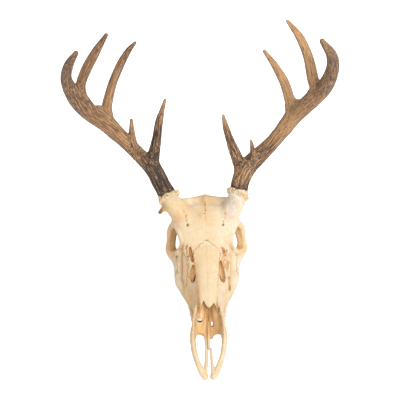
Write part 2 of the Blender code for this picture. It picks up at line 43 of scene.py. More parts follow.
# Places are (x, s, z) in millimetres: x to the animal's left, s back from the nose tip, z up from the floor
layout = {
    "middleX": -3.15,
    "middleS": 200.88,
    "noseLean": 1.2,   # the nose tip bends this far to the animal's right
    "leanFrom": 90,
    "seam": 0.06,   # gap along a suture
    "lap": (0.35, 0.07),   # how far the halves lap at the midline, and how far the right one lies under
    "millimetre": 0.001,
}
noiseTable = {"cells": 32, "shift": 100}   # the random table repeats after so many cells
tiny = {"share": 1e-4, "slope": 1e-5, "square": 1e-6, "length": 1e-9}   # these keep divisors above nought


def toWorld(points):
    lean = layout["noseLean"] * np.clip(1 - points[..., 1] / layout["leanFrom"], 0, None)
    shift = np.array([layout["middleX"], layout["middleS"], 0])
    world = points - shift
    world[..., 0] -= lean
    return world * layout["millimetre"]


def smoothed(values, width):  # running average that keeps the ends
    padded = np.pad(values, width, mode="edge")
    return np.convolve(padded, np.ones(2 * width + 1) / (2 * width + 1), mode="valid")


def between(table, cell, part):  # the mean of the eight values round each place
    total = np.zeros(len(part))
    for corner in np.ndindex(2, 2, 2):
        weight = np.prod(np.where(corner, part, 1 - part), axis=1)
        total += weight * table[tuple(((cell + corner) % table.shape).T)]
    return total


def softNoise(points, size, seed):  # smooth random values, -1 to 1, about size mm across
    table = np.random.default_rng(seed).uniform(-1, 1, (noiseTable["cells"],) * 3).astype(np.float32)
    place = points / size + noiseTable["shift"]
    cell = np.floor(place).astype(int)
    part = place - cell
    return between(table, cell, part * part * (3 - 2 * part))


def noises(points, layers, start=0.0):  # start plus some noises, each given by height, size in mm and seed
    return sum((height * softNoise(points, size, seed) for height, size, seed in layers), start)


def smoothMin(a, b, blend):
    if not blend:
        return np.minimum(a, b)
    lap = np.clip(blend - np.abs(a - b), 0, None) / blend
    return np.minimum(a, b) - lap * lap * blend / 4


def smoothMax(a, b, blend):
    return -smoothMin(-a, -b, blend)


# A shape is a list of bits, each (low corner, high corner, distance function of x, s, z)

def dot(place, way):
    return place[0] * way[0] + place[1] * way[1] + place[2] * way[2]


def oval(parts, radii):  # distance to an oval of these radii, from a place given in shares of them
    share = np.sqrt(sum(p * p for p in parts)) + tiny["share"]
    steep = np.sqrt(sum((p / r) ** 2 for p, r in zip(parts, radii))) + tiny["slope"]
    return (share - 1) * share / steep


def ball(centre, radii):
    def distance(*place):
        return oval([(v - c) / r for v, c, r in zip(place, centre, radii)], radii)
    return [(np.subtract(centre, radii), np.add(centre, radii), distance)]


# Stations are s, bottom, top, half width below, half width above
def body(stations, power, soften=6, gap=0.5):
    rows = np.array(stations, float)
    reach = np.arange(rows[0, 0], rows[-1, 0] + gap, gap)
    columns = [smoothed(np.interp(reach, rows[:, 0], rows[:, k]), soften) for k in range(1, 5)]

    def distance(x, s, z):
        bottom, top, halfLow, halfHigh = [np.interp(s, reach, column) for column in columns]
        tall = (top - bottom) / 2
        rise = (z - (top + bottom) / 2) / tall
        half = halfLow + (halfHigh - halfLow) * np.clip((rise + 1) / 2, 0, 1)
        across = (np.abs(x) / half).astype(np.float32)
        rise = np.abs(rise).astype(np.float32)
        acrossPower = across ** (power - 1)
        risePower = rise ** (power - 1)
        share = (acrossPower * across + risePower * rise) ** (1 / power) + tiny["share"]
        steep = np.sqrt((acrossPower / half) ** 2 + (risePower / tall) ** 2) * share ** (1 - power)
        steep = steep + tiny["share"]
        return np.maximum((share - 1) / steep, np.maximum(rows[0, 0] - s, s - rows[-1, 0]))

    wide = rows[:, 3:].max()
    low = np.array([-wide, rows[0, 0], rows[:, 1].min()])
    high = np.array([wide, rows[-1, 0], rows[:, 2].max()])
    return [(low, high, distance)]


def smoothRows(stations, gap, closed=False):  # rows about gap mm apart on a smooth curve through the stations
    rows = [np.array(row, float) for row in stations]
    if closed:
        ends = [rows[-1], *rows, rows[0], rows[1]]
    else:
        ends = [2 * rows[0] - rows[1], *rows, 2 * rows[-1] - rows[-2]]
    path = []
    for p0, p1, p2, p3 in zip(ends, ends[1:], ends[2:], ends[3:]):
        count = max(1, round(float(np.linalg.norm((p2 - p1)[:3])) / gap))
        for t in np.arange(count) / count:
            bend = (2 * p0 - 5 * p1 + 4 * p2 - p3) * t * t + (3 * p1 - p0 - 3 * p2 + p3) * t ** 3
            path.append(0.5 * (2 * p1 + (p2 - p0) * t + bend))
    path.append(ends[-2])
    return np.array(path)


def segment(near, far, side, rise):  # an oval bar between two rows of x, s, z, half across, half along rise
    start = near[:3]
    axis = far[:3] - start
    length = max(float(axis @ axis), tiny["square"])
    forward = axis / math.sqrt(length)

    def distance(x, s, z):
        place = (x - start[0], s - start[1], z - start[2])
        t = np.clip(dot(place, axis) / length, 0, 1)
        place = [v - t * way for v, way in zip(place, axis)]
        halfA = near[3] + t * (far[3] - near[3])
        halfB = near[4] + t * (far[4] - near[4])
        halves = (halfA, halfB, np.minimum(halfA, halfB))
        return oval([dot(place, way) / h for way, h in zip((side, rise, forward), halves)], halves)

    most = max(near[3], near[4], far[3], far[4])
    return np.minimum(start, far[:3]) - most, np.maximum(start, far[:3]) + most, distance


def sweep(stations, up=(0, 0, 1), closed=False, gap=3.5):  # stations are x, s, z, half across, half along up
    rows = smoothRows(stations, gap, closed)
    bits = []
    for near, far in zip(rows, rows[1:]):
        tangent = far[:3] - near[:3]
        tangent /= np.linalg.norm(tangent) + tiny["length"]
        side = np.cross(tangent, up)
        side /= np.linalg.norm(side) + tiny["length"]
        bits.append(segment(near, far, side, np.cross(side, tangent)))
    return bits


def mirrored(bits):  # the same shape on the animal's right
    made = []
    for low, high, distance in bits:
        swapped = [np.array([-high[0], low[1], low[2]]), np.array([-low[0], high[1], high[2]])]
        made.append((*swapped, lambda x, s, z, distance=distance: distance(-x, s, z)))
    return made


def paired(bits):
    return bits + mirrored(bits)


class Field:  # distances in mm on a regular grid, negative inside the bone
    edge = 1.001   # cells that a place stays away from the grid's far side

    def __init__(self, low, high, step, far=12):
        self.low = np.array(low, float)
        self.step = step
        size = np.ceil((np.array(high) - self.low) / step).astype(int) + 1
        self.values = np.full(size, far, np.float32)

    def part(self, low, high):  # the slices between two corners, and the places there
        first = np.floor((np.array(low) - self.low) / self.step).astype(int)
        last = np.ceil((np.array(high) - self.low) / self.step).astype(int) + 1
        first = np.clip(first, 0, self.values.shape)
        last = np.clip(last, first, self.values.shape)
        cut = tuple(slice(a, b) for a, b in zip(first, last))
        axes = [(self.low[k] + self.step * np.arange(first[k], last[k])).astype(np.float32) for k in range(3)]
        return cut, np.meshgrid(*axes, indexing="ij", sparse=True)

    def shaped(self, bits, blend):  # the distance to a shape, in the part of the grid that it can change
        room = blend + 2 * self.step
        low = np.min([bit[0] for bit in bits], axis=0) - room
        high = np.max([bit[1] for bit in bits], axis=0) + room
        cut, axes = self.part(low, high)
        first = [piece.start for piece in cut]
        local = Field.__new__(Field)
        local.low = self.low + np.array(first) * self.step
        local.step = self.step
        local.values = np.full([piece.stop - piece.start for piece in cut], room * 2, np.float32)
        for bitLow, bitHigh, distance in bits:
            inner, places = local.part(bitLow - room, bitHigh + room)
            if local.values[inner].size:
                local.values[inner] = np.minimum(local.values[inner], distance(*places))
        return cut, local.values

    def add(self, bits, blend=0):
        cut, values = self.shaped(bits, blend)
        self.values[cut] = smoothMin(self.values[cut], values, blend)

    def carve(self, bits, blend=0):
        cut, values = self.shaped(bits, blend)
        self.values[cut] = smoothMax(self.values[cut], -values, blend)

    def at(self, points):  # the distance at any places, between grid points
        place = np.clip((points - self.low) / self.step, 0, np.array(self.values.shape) - self.edge)
        cell = place.astype(int)
        return between(self.values, cell, place - cell)


def join(field, parts):  # adds shapes one after another, each with its mm of blending
    for shape, blend in parts:
        field.add(shape, blend)


def hollowOut(field, parts):  # takes shapes away in the same manner
    for shape, blend in parts:
        field.carve(shape, blend)


def topAt(field, x, s):  # height of the bone's upper side
    column = field.values[round((x - field.low[0]) / field.step), round((s - field.low[1]) / field.step)]
    highest = np.nonzero(column < 0)[0][-1]
    part = column[highest] / (column[highest] - column[highest + 1])
    return float(field.low[2] + (highest + part) * field.step)


def draped(field, rows, lift=0.0):  # rows of x, s, half across, half deep, laid on the upper side
    return [(x, s, topAt(field, x, s) + lift, across, deep) for x, s, across, deep in rows]


def skinned(values, low, step):  # (places, quads) of the surface where the distance is nought
    band = 2 * step
    grid = openvdb.FloatGrid(background=float(band))
    padded = np.pad(np.clip(values, -band, band), 1, constant_values=band)
    grid.copyFromArray(np.ascontiguousarray(padded, np.float32))
    points, quads = grid.convertToQuads(isovalue=0.0)
    return (points.astype(float) - 1) * step + low, quads.astype(int)


def largest(points, quads):  # drops the crumbs beside the main body
    label = np.arange(len(points))
    while True:
        lowest = label[quads].min(axis=1)
        fresh = label.copy()
        np.minimum.at(fresh, quads.ravel(), np.repeat(lowest, 4))
        fresh = fresh[fresh]
        if (fresh == label).all():
            break
        label = fresh
    names, counts = np.unique(label[quads[:, 0]], return_counts=True)
    quads = quads[label[quads[:, 0]] == names[counts.argmax()]]
    used, index = np.unique(quads, return_inverse=True)
    return points[used], index.reshape(-1, 4)


def meshFrom(name, points, quads):
    mesh = bpy.data.meshes.new(name)
    mesh.vertices.add(len(points))
    mesh.vertices.foreach_set("co", toWorld(points).astype(np.float32).ravel())
    mesh.loops.add(quads.size)
    mesh.loops.foreach_set("vertex_index", quads.astype(np.int32).ravel())
    mesh.polygons.add(len(quads))
    mesh.polygons.foreach_set("loop_start", np.arange(0, quads.size, 4, dtype=np.int32))
    mesh.update(calc_edges=True)
    mesh.shade_smooth()
    return mesh


def normalsOf(points, quads):
    a, b, c, d = (points[quads[:, k]] for k in range(4))
    face = np.cross(c - a, d - b)
    normals = np.zeros_like(points)
    for k in range(4):
        np.add.at(normals, quads[:, k], face)
    return normals / (np.linalg.norm(normals, axis=1, keepdims=True) + tiny["length"])


def outwardOf(field, points, reach=0.8):  # the direction that leads out of the bone soonest
    steps = np.eye(3) * reach
    slope = np.stack([field.at(points + step) - field.at(points - step) for step in steps], axis=1)
    return slope / (np.linalg.norm(slope, axis=1, keepdims=True) + tiny["square"])


def addValues(mesh, found):  # a value for each vertex, under each name
    for name, values in found.items():
        attribute = mesh.attributes.new(name, "FLOAT", "POINT")
        attribute.data.foreach_set("value", np.asarray(values, np.float32))


def pieceFrom(name, mesh, material):
    obj = bpy.data.objects.new(name, mesh)
    bpy.context.scene.collection.objects.link(obj)
    mesh.materials.clear()
    mesh.materials.append(material)
    return obj


# The whole skull as one field, half of it first
print("shaping the skull")
skull = {
    "low": (0, -6, -3),
    "high": (74, 294, 152),
    "step": 0.8,
    "snout": (
        (60, 23, 40, 22.8, 21), (68, 21, 48, 23.8, 21), (75, 19, 53, 24.7, 20), (86, 16, 59, 25.3, 18),
        (96, 14, 65, 25.4, 15.8), (110, 13, 72, 26, 16.2), (122, 13, 77, 27.6, 18.2), (136, 13, 83, 33, 21),
        (150, 13, 90, 37.5, 23), (160, 14, 94, 39, 25), (170, 15, 98, 38, 30), (180, 20, 102, 33, 34),
    ),
    "flank": (
        (106, 19, 51, 24.6, 15), (122, 19, 61, 30.8, 22), (133, 20, 68, 37, 28), (145, 21, 75, 42.5, 32.5),
        (156, 24, 81, 45.5, 35), (166, 30, 86, 47, 37), (172, 34, 87, 48, 38),
    ),
    "lacrimalRegion": (
        (140, 36, 79, 34, 20), (151, 38, 87, 41, 23), (161, 42, 93, 44, 27), (169, 48, 97, 44.5, 32),
        (176, 54, 100, 45, 35),
    ),
    "temporalRidge": (
        (38, 230, 118.4, 9, 9), (30, 237, 113.2, 7.5, 7.5), (18, 241, 109.8, 7, 7), (0, 245, 109, 7, 7),
    ),
    "forehead": (
        (150, 74, 84, 26, 19), (160, 81, 92.6, 29.5, 24.5), (168, 84, 98, 36, 30),
        (178, 88, 103, 38, 34), (188, 92, 108, 39, 35),
        (198, 94, 113, 43, 37), (208, 93, 117.5, 50, 40), (216, 88, 120.5, 46, 41), (226, 80, 120, 41, 38),
        (238, 74, 114, 38, 33), (250, 72, 105, 34, 28),
    ),
    "braincase": (
        (172, 52, 96, 15, 20), (184, 52, 100, 14.5, 22), (194, 51, 105, 15, 25), (204, 46, 112, 20, 32),
        (217, 42, 116, 30, 37), (232, 41, 115, 38, 37), (246, 41, 106, 39, 36), (257, 41, 94, 37, 33),
        (266, 42, 82, 34, 31), (272, 46, 74, 29, 29), (276, 54, 68, 20, 24),
    ),
    "skullBase": (
        (166, 16, 60, 26, 26), (176, 15, 60, 20, 25), (186, 15, 60, 14, 22), (196, 16, 60, 12, 19),
        (205, 22, 58, 11.5, 18), (214, 32, 58, 11, 20), (226, 38, 58, 11, 22), (244, 38, 58, 13, 24),
        (262, 38, 58, 16, 24), (272, 40, 58, 16, 22),
    ),
    # middles and radii
    "cheekTuber": ((39.5, 167, 55), (8.4, 12, 13)),
    "crown": ((0, 238, 114), (3.5, 9, 5)),
}

leftHalf = Field(skull["low"], skull["high"], skull["step"])
join(leftHalf, (
    (body(skull["snout"], power=2.5), 0),
    (body(skull["flank"], power=2.8), 6),
    (body(skull["lacrimalRegion"], power=3), 5),
    (ball(*skull["cheekTuber"]), 5),
    (body(skull["forehead"], power=2.7), 4),
    (body(skull["braincase"], power=2.3), 6),
    (body(skull["skullBase"], power=3), 4),
))

premaxilla = {
    "outerBar": (
        (6, 2.6, 15, 3.7, 3), (9.2, 9, 16.5, 4.8, 3.6), (14.2, 19, 20, 4.3, 4.2), (19, 31, 25, 3.9, 5.6),
        (21.8, 44, 31, 4.1, 8), (22.8, 57, 36, 4, 11), (22.4, 67, 38, 3.6, 11),
    ),
    "nasalProcess": (
        (22.2, 60, 45, 2.6, 6), (21.2, 72, 52, 2.4, 6), (19, 84, 58, 2.4, 4), (17.5, 95, 63, 2.4, 3),
    ),
    "palatineProcess": (
        (6, 5, 15, 2.8, 2.6), (4.6, 18, 18, 2.3, 2.6), (3.7, 32, 20, 2, 2.4), (3.1, 46, 21, 1.5, 2.2),
    ),
    "hook": ((3.4, 3.6, 14, 1.5, 1.6), (2.9, 7, 14.5, 1.1, 1.2)),
    "longProcess": (
        (-4.2, 20, 19, 2, 2.6), (-3.9, 34, 20, 1.9, 2.6), (-3.7, 46, 21.5, 1.9, 2.6),
        (-3.7, 58, 23, 2, 2.8), (-3.9, 70, 24.5, 2.2, 3),
    ),
}
for name in ("outerBar", "nasalProcess", "palatineProcess", "hook"):
    leftHalf.add(sweep(premaxilla[name]), blend=3)

skullFoot = {
    "nuchalCrest": (
        (-8, 273.5, 72.5, 3.6, 3.6), (0, 273.5, 72.5, 3.8, 4), (20, 270, 71, 3, 3.6),
        (34, 263, 64, 2.6, 4.4), (36, 255, 53, 2.6, 3.6),
    ),
    "earTube": ((22, 238, 44, 7, 7), (34, 242, 49, 6.2, 6.6), (42, 246, 53, 5, 5)),
    "process": (
        (29, 257, 52, 7, 11), (31, 260, 34, 4.6, 9), (33, 262, 16, 3.2, 6.3), (33.5, 262, -2, 2.8, 4.4),
    ),
    # middles and radii
    "occiput": ((0, 275, 68), (6, 4, 7)),
    "bulla": ((21, 237, 36), (8.5, 13, 11)),
    "condyle": ((13.5, 277, 49), (9, 10.5, 13)),
}
join(leftHalf, (
    (sweep(skullFoot["nuchalCrest"], up=(0, 1, 0)), 5),
    (ball(*skullFoot["occiput"]), 4),
    (ball(*skullFoot["bulla"]), 3),
    (ball(*skullFoot["condyle"]), 3),
    (sweep(skullFoot["earTube"]), 3),
    (sweep(skullFoot["process"], up=(0, 1, 0)), 5),
    (sweep(skull["temporalRidge"]), 6),
    (ball(*skull["crown"]), 5),
))

cheek = {
    "arch": (
        (24.6, 116, 33, 4.6, 8), (32.6, 133, 34, 5.6, 10), (39.6, 150, 36, 6.4, 12), (42, 165, 40, 5.6, 12),
        (45.4, 178, 46, 4.6, 9.5), (53.6, 191, 50, 4.2, 7.5), (54.4, 204, 53, 3.4, 6.5),
        (54.2, 218, 55, 2.8, 5.5),
        (51.4, 231, 56, 3.2, 5.5), (45.6, 241, 56, 4.2, 5.5), (36, 248, 57, 6, 7),
    ),
    "orbitRim": (
        (38, 175, 88, 4, 3), (42, 177, 76, 4, 3), (46.2, 181, 65, 4, 3), (51.4, 187.5, 57.5, 4, 3),
        (56.6, 195, 54.5, 3.5, 3), (55.4, 203, 59, 3, 2.6), (53.8, 208.5, 69, 3, 3.3),
        (51.2, 212, 82, 3.4, 3.6),
        (47.2, 210.5, 95.5, 5, 3.6), (43.4, 205, 100, 5, 3.8), (40.2, 198, 100.5, 5, 3.6),
        (37, 188, 98.5, 5, 3.4),
        (35.5, 180, 95, 4, 3),
    ),
    "orbitFloor": ((35, 186, 60, 5, 4), (44, 188, 57, 5, 4), (51, 192, 54, 4, 4)),
    "orbitShelf": (
        (38, 164, 54, 5, 9), (42.4, 180, 53, 5, 9.6), (50, 191, 52.5, 4.4, 8.4), (52, 200, 54, 4, 7),
        (51, 207, 60, 4, 6.4), (49.8, 212, 71, 3, 8), (46.4, 214, 84, 2.8, 9), (43, 213, 98, 4, 7),
    ),
    "orbitCorner": ((44, 177, 55), (5, 8, 7)),   # middle and radii
    "fuller": ((-42.2, 172, 44, 4.6, 9), (-41.4, 160, 40, 5.6, 11), (-39.6, 147, 36, 6.2, 11)),   # right only
}
join(leftHalf, (
    (sweep(cheek["arch"]), 5),
    (sweep(cheek["orbitRim"], up=(1, 0, 0), closed=True), 3),
    (sweep(cheek["orbitShelf"], up=(1, 0, 0)), 3),
    (sweep(cheek["orbitFloor"]), 3),
    (ball(*cheek["orbitCorner"]), 4),
))

solid = Field(skull["low"], skull["high"], skull["step"])
solid.values = np.concatenate([leftHalf.values[:0:-1], leftHalf.values])
solid.low = np.array([-skull["step"] * (leftHalf.values.shape[0] - 1), *skull["low"][1:]], float)

pedicle = {
    "left": (
        (33, 217, 106, 15, 15), (39.4, 224, 115, 14, 14), (45.2, 230.5, 128, 13.2, 13.2),
        (48, 235, 135, 14.6, 14.6),
    ),
    "right": (
        (-33, 217, 106, 15, 15), (-40, 224, 115, 14.5, 14.5), (-48.5, 230.5, 126, 13.2, 13.2),
        (-53, 235, 132, 14.6, 14.6),
    ),
    "knob": (
        (-50, 227, 125, 4, 4), (-57.4, 223.4, 122.4, 3.6, 3.6), (-62.2, 220.8, 121, 3.2, 3.4),
        (-65.6, 217.6, 119.8, 2.8, 3),
    ),
}
join(solid, [(sweep(rows), 6) for rows in pedicle.values()])
join(solid, ((sweep(premaxilla["longProcess"]), 2), (sweep(cheek["fuller"]), 4)))

# What is open: nose, palate, orbits, windows and canals
hollow = {
    "orbit": ((46, 194, 77.5), (30, 17, 19.5)),
    "nasalCavity": (
        (30, 27, 70, 12, 14), (52, 27, 78, 17, 17), (62, 27, 82, 18, 18), (70, 29, 82, 18.5, 18),
        (84, 36, 84, 19, 15.5),
        (88, 37, 58.5, 19, 10.5), (96, 41, 61.5, 19, 10.5), (104, 44, 64.5, 20, 11.5),
        (120, 48, 69.5, 22.5, 14), (136, 50, 76, 23.5, 15.5),
        (148, 52, 80, 19, 12), (158, 56, 82, 11, 9),
    ),
    "palateVault": (
        (70, 5, 19, 14, 8), (90, 4, 22, 16, 9), (110, 2, 24, 18, 10), (130, 2, 25, 19.5, 11),
        (150, 2, 25, 22, 12), (168, 2, 25, 24, 13),
    ),
    "choanae": ((160, 0, 30, 12, 6), (176, 4, 44, 9, 7), (196, 8, 46, 7, 6), (212, 20, 42, 6, 4)),
    "fissure": ((12, 50, 26, 5.5, 15), (12.2, 62.4, 27, 5.7, 15)),
    "spinalHole": ((0, 279, 52), (8.5, 12, 9)),   # middle and radii
}
carved = Field(solid.low, skull["high"], skull["step"])
carved.values = solid.values.copy()
hollowOut(carved, (
    (body(hollow["nasalCavity"], power=3, soften=3), 1.5),
    (body(hollow["palateVault"], power=3), 2),
    (body(hollow["choanae"], power=3), 2),
    (ball(*hollow["spinalHole"]), 2),
    (paired(sweep(hollow["fissure"])), 1),
))

teeth = {
    "from": 101,
    "sizes": ((9.5, 3.6), (10.5, 4.4), (11, 5), (13.5, 6), (15, 6.6), (15, 6.2)),   # length, half width
    "row": ((104, 21.8), (125, 24), (150, 27.8), (177, 30.5)),   # s, distance from the midline
    "premolars": 3,
    "gap": {1: 0.4, 2: 0.175},   # mm kept free beside each lobe, by the tooth's number of lobes
    "crown": ((-0.3, 20, 0.86), (0, 9, 1), (0, -3, 0.96)),   # outwards, height, share of the half width
    # share of the lobe's half length, outwards, height, share of the half width, half deep
    "valley": ((-0.55, 0, -0.6, 0.2, 1.6), (0, 0.5, -0.4, 0.28, 2), (0.55, 0, -0.6, 0.2, 1.6)),
    "end": (200, 26),   # s and z where the row's own grid ends
}


def toothRow():  # two lobes to a molar, one to a premolar, with a worn valley between the cusps
    crowns, valleys = [], []
    start = teeth["from"]
    for number, (length, width) in enumerate(teeth["sizes"]):
        lobes = 1 if number < teeth["premolars"] else 2
        for lobe in range(lobes):
            s = start + length * (lobe + 0.5) / lobes
            x = float(np.interp(s, *np.array(teeth["row"]).T))
            reach = length / lobes / 2 - teeth["gap"][lobes]
            crown = [(x + out, s, z, width * share, reach) for out, z, share in teeth["crown"]]
            worn = [
                (x + out, s + reach * on, z, width * share, deep)
                for on, out, z, share, deep in teeth["valley"]
            ]
            crowns += sweep(crown, up=(0, 1, 0))
            valleys += sweep(worn, gap=2)
        start += length
    return crowns, valleys


crowns, valleys = toothRow()
toothField = Field(carved.low, (skull["high"][0], *teeth["end"]), skull["step"])
toothField.add(paired(crowns), blend=0.8)
reach = (np.array(toothField.values.shape) - 1) * skull["step"]
cut, _ = carved.part(toothField.low, toothField.low + reach)
local = toothField.values[tuple(slice(0, piece.stop - piece.start) for piece in cut)]
carved.values[cut] = smoothMin(carved.values[cut], local, 1)
carved.carve(paired(valleys), blend=0.6)
_, (_, _, heights) = carved.part(carved.low, skull["high"])
carved.values = np.maximum(carved.values, -heights)   # the teeth and processes end flat, at the floor

concha = {
    "scroll": (
        (13, 76, 32, 5, 4), (11.8, 86, 37, 6, 8), (10.8, 96, 42, 6.4, 10), (10.4, 110, 47, 6.6, 12),
        (10.2, 130, 56, 7, 12.5), (9.5, 150, 62, 6, 12),
    ),
    "upper": ((9.5, 98, 61, 3, 3), (9.5, 106, 64, 4, 4), (9.5, 122, 69, 5, 5), (9.5, 145, 76, 5, 5)),
    "fold": (
        (14.5, 66, 32, 0.7, 1.2), (13.8, 82, 45.5, 0.7, 1.4), (13.4, 96, 53, 0.7, 1.4),
        (13, 120, 61, 0.8, 1.4),
    ),
}
join(carved, [(paired(sweep(concha[name])), 3) for name in ("scroll", "upper")])
carved.carve(paired(sweep(concha["fold"])), blend=1)

nasalPoints = (
    ((-11.4, 104, 3, 1.3), (-11.6, 97, 2.1, 1.2), (-11.8, 91.4, 0.8, 0.9)),
    ((12, 104, 3, 1.3), (12.2, 97, 2.1, 1.2), (12.4, 91.4, 0.8, 0.9)),
)
join(carved, [(sweep(draped(solid, rows, lift=-1.2)), 1) for rows in nasalPoints])

noseHoles = {
    "right": ((-12.4, 69.4, 60, 3.7, 2.9), (-12.4, 111.2, -2, 3.7, 2.9)),
    "left": ((4.9, 66, 54, 1.5, 4), (4.9, 103.8, -2, 1.5, 4)),
}
hollowOut(carved, [(sweep(rows, gap=60), 1) for rows in noseHoles.values()])

# Windows beside the nasals, grooves and pits, which differ from side to side; x is minus on the right
windows = {
    "rightSlit": ((-23.6, 171, 1.4, 5), (-22.6, 163, 2.4, 6), (-20.8, 155.5, 1.6, 6)),
    "rightHole": ((-19.6, 149, 2.2, 8), (-20.4, 144, 4.6, 9), (-21.2, 138.4, 5.4, 9), (-22, 134.4, 3, 8)),
    "leftHole": (
        (19.4, 154, 1.4, 8), (20, 148, 3, 9), (20.8, 141.6, 5, 9), (22.4, 136, 4.4, 8),
        (23.6, 133.6, 2, 7),
    ),
    "leftSlit": ((24.4, 166.6, 1.2, 4), (24.2, 164.4, 1.5, 4)),
    "leftPocket": ((29.5, 157, 1.2, 3), (28.4, 150, 1.4, 3)),
    "leftStrip": ((31.4, 142, 0.9, 3), (31.8, 131, 1.2, 3)),
}
hollowOut(carved, [(sweep(draped(solid, rows, lift=-2.5)), 1.5) for rows in windows.values()])

tearGroove = {
    "right": (
        (-37, 176, 3.4, 1), (-37.8, 168.6, 4.8, 1.5), (-37.8, 159.7, 5, 1.6), (-37.4, 150.3, 5, 1.6),
        (-37, 140.6, 4.4, 1.4), (-36.4, 129, 2.6, 0.9),
    ),
    "left": (
        (36, 175, 2.5, 1.1), (36.6, 166, 3.6, 1.4), (36.4, 157, 4, 1.5), (35.8, 147, 3.6, 1.4),
        (34.6, 136, 3, 1.1),
    ),
}
hollowOut(carved, [(sweep(draped(solid, rows, lift=0.4)), 2.5) for rows in tearGroove.values()])

noseSide = {
    # middles and radii
    "cheekHole": ((27.5, 98, 34), (4.5, 4, 3)),
    "rightNotch": ((-14.2, 91, 57), (1.3, 5, 7)),   # the nasals' outer points stand free of the premaxillae
    "leftNotch": ((14.6, 91, 57), (1.3, 5, 7)),
}
hollowOut(carved, (
    (paired(ball(*noseSide["cheekHole"])), 1.5),
    (ball(*noseSide["rightNotch"]), 0.6),
    (ball(*noseSide["leftNotch"]), 0.6),
))

pits = {
    # paths of x and s, spread to either side, how many, least and most radius
    "browCanalRight": (((-26.6, 202), (-27.6, 205.6), (-28.9, 211.6), (-30.1, 218)), 0.8, 6, 0.5, 0.85),
    "browCanalLeft": (((25, 202), (26.3, 204.4), (27.9, 210.3), (28.8, 216)), 0.8, 6, 0.5, 0.85),
    "browFar": (((-31.5, 214), (-32.5, 220)), 0.8, 3, 0.5, 0.7),
    "porousRight": (
        ((-27.6, 173), (-28, 161.4), (-28.6, 153.9), (-29, 144.8), (-29.4, 134)), 2.3, 48, 0.55, 1.25,
    ),
    "porousLeft": (((24.5, 169), (26.5, 163), (26.5, 156), (27, 150)), 3.6, 46, 0.6, 1.5),
    "stripLeft": (((31, 158), (30, 148), (30.5, 138), (32, 129)), 0.8, 18, 0.5, 1),
    "midline": (((-0.8, 236), (-0.6, 228), (-0.4, 220), (0, 206)), 1.2, 10, 0.5, 0.85),
}
holes = {
    "seed": 5,
    "uneven": 0.7,   # share of the gap between two pits that one may stray
    "shape": (1, 1.5, 2.6),
    "blend": 0.6,
    "orbit": ((-39.6, 184, 78), (-40.4, 181, 72), (37.6, 186, 84)),
    "orbitRadii": (1.4, 1.6, 1.8),
    "brow": ((-26.4, 199.9), (24.7, 198.9)),
    "browRadii": (1.5, 1.9, 5),
}
draw = np.random.default_rng(holes["seed"])
for path, spreadOut, count, least, most in pits.values():
    path = np.array(path)
    for share in (np.arange(count) + draw.uniform(0, holes["uneven"], count)) / count * (len(path) - 1):
        x = float(np.interp(share, range(len(path)), path[:, 0]) + draw.uniform(-spreadOut, spreadOut))
        s = float(np.interp(share, range(len(path)), path[:, 1]))
        radius = draw.uniform(least, most)
        radii = [radius * times for times in holes["shape"]]
        carved.carve(ball((x, s, topAt(solid, x, s)), radii), holes["blend"])
hollowOut(carved, [(ball(place, holes["orbitRadii"]), holes["blend"]) for place in holes["orbit"]])
hollowOut(carved, [(ball((x, s, topAt(solid, x, s)), holes["browRadii"]), 1) for x, s in holes["brow"]])

# Bones are cut out in this order, each from what the ones before have left
bones = {
    "nasal": (
        (76, 0, 12.6, 48, 150), (104, 0, 13.6, 63.5, 150), (124, 0, 16, 71.5, 150),
        (150, 0, 18, 79, 150), (165, 0, 19.5, 85, 150), (179, 0, 0.8, 90, 150),
    ),
    "premaxilla": (
        (-9, 0, 60, -9, 95), (55, 0, 60, 2, 95), (63, 0, 60, 32, 95), (74, 0, 60, 45, 95),
        (100, 0, 60, 71, 95),
    ),
    "frontal": (
        (162, 0, 85, 84, 170), (174, 0, 85, 86.5, 170), (192, 0, 85, 93, 170), (246, 0, 85, 94, 170),
    ),
    "zygomatic": (
        (156, 43, 85, 20, 66), (180, 43, 85, 20, 66), (192, 43, 85, 20, 99), (227, 43, 85, 20, 99),
    ),
    "maxilla": ((40, 0, 85, -9, 99), (182, 0, 85, -9, 99)),
}
waves = {
    # height in mm, then how fast it turns with the two other directions, or with s alone for the middle
    "ahead": ((0.7, 0.9, 0.5), (0.4, 2.6, 1.3)),
    "across": ((0.7, 0.8, 0.3), (0.4, 2.3, -0.9)),
    "above": ((0.7, 0.7, 0.6), (0.4, 2.1, 1.7)),
    "middle": ((0.25, 0.9), (0.2, 2.7)),
    "blend": 0.6,
    "room": 3,   # mm of the grid taken in beyond a pair of bones
}
nasalTips = (
    # x, and the s that the broken front edge of the nasals reaches there
    (-15.5, 97), (-13.8, 96), (-11.7, 91), (-9.6, 95), (-6.4, 101), (-4.4, 97), (-2, 93), (1.2, 90.6),
    (4.6, 93), (7.9, 97.6), (9.6, 95), (12.2, 91), (14, 96), (15.5, 97),
)


def wavy(place, layers, a, b):  # a coordinate that wanders with the two others
    for height, turnA, turnB in layers:
        place = place + height * np.sin(turnA * a + turnB * b)
    return place


def territory(rows, x, s, z):  # distance to the space of a pair of bones, with wandering edges
    rows = np.array(rows, float)
    ahead = wavy(s, waves["ahead"], x, z)
    inner, outer, low, high = [np.interp(ahead, rows[:, 0], rows[:, k]) for k in range(1, 5)]
    across = wavy(np.abs(x), waves["across"], s, z)
    above = wavy(z, waves["above"], s, x)
    edges = [rows[0, 0] - ahead, ahead - rows[-1, 0], across - outer, low - above, above - high]
    if rows[0, 1]:
        edges.append(inner - across)
    made = edges[0]
    for edge in edges[1:]:
        made = np.maximum(made, edge)
    return made.astype(np.float32)


def midline(x, s):
    for height, turn in waves["middle"]:
        x = x + height * np.sin(turn * s)
    return x


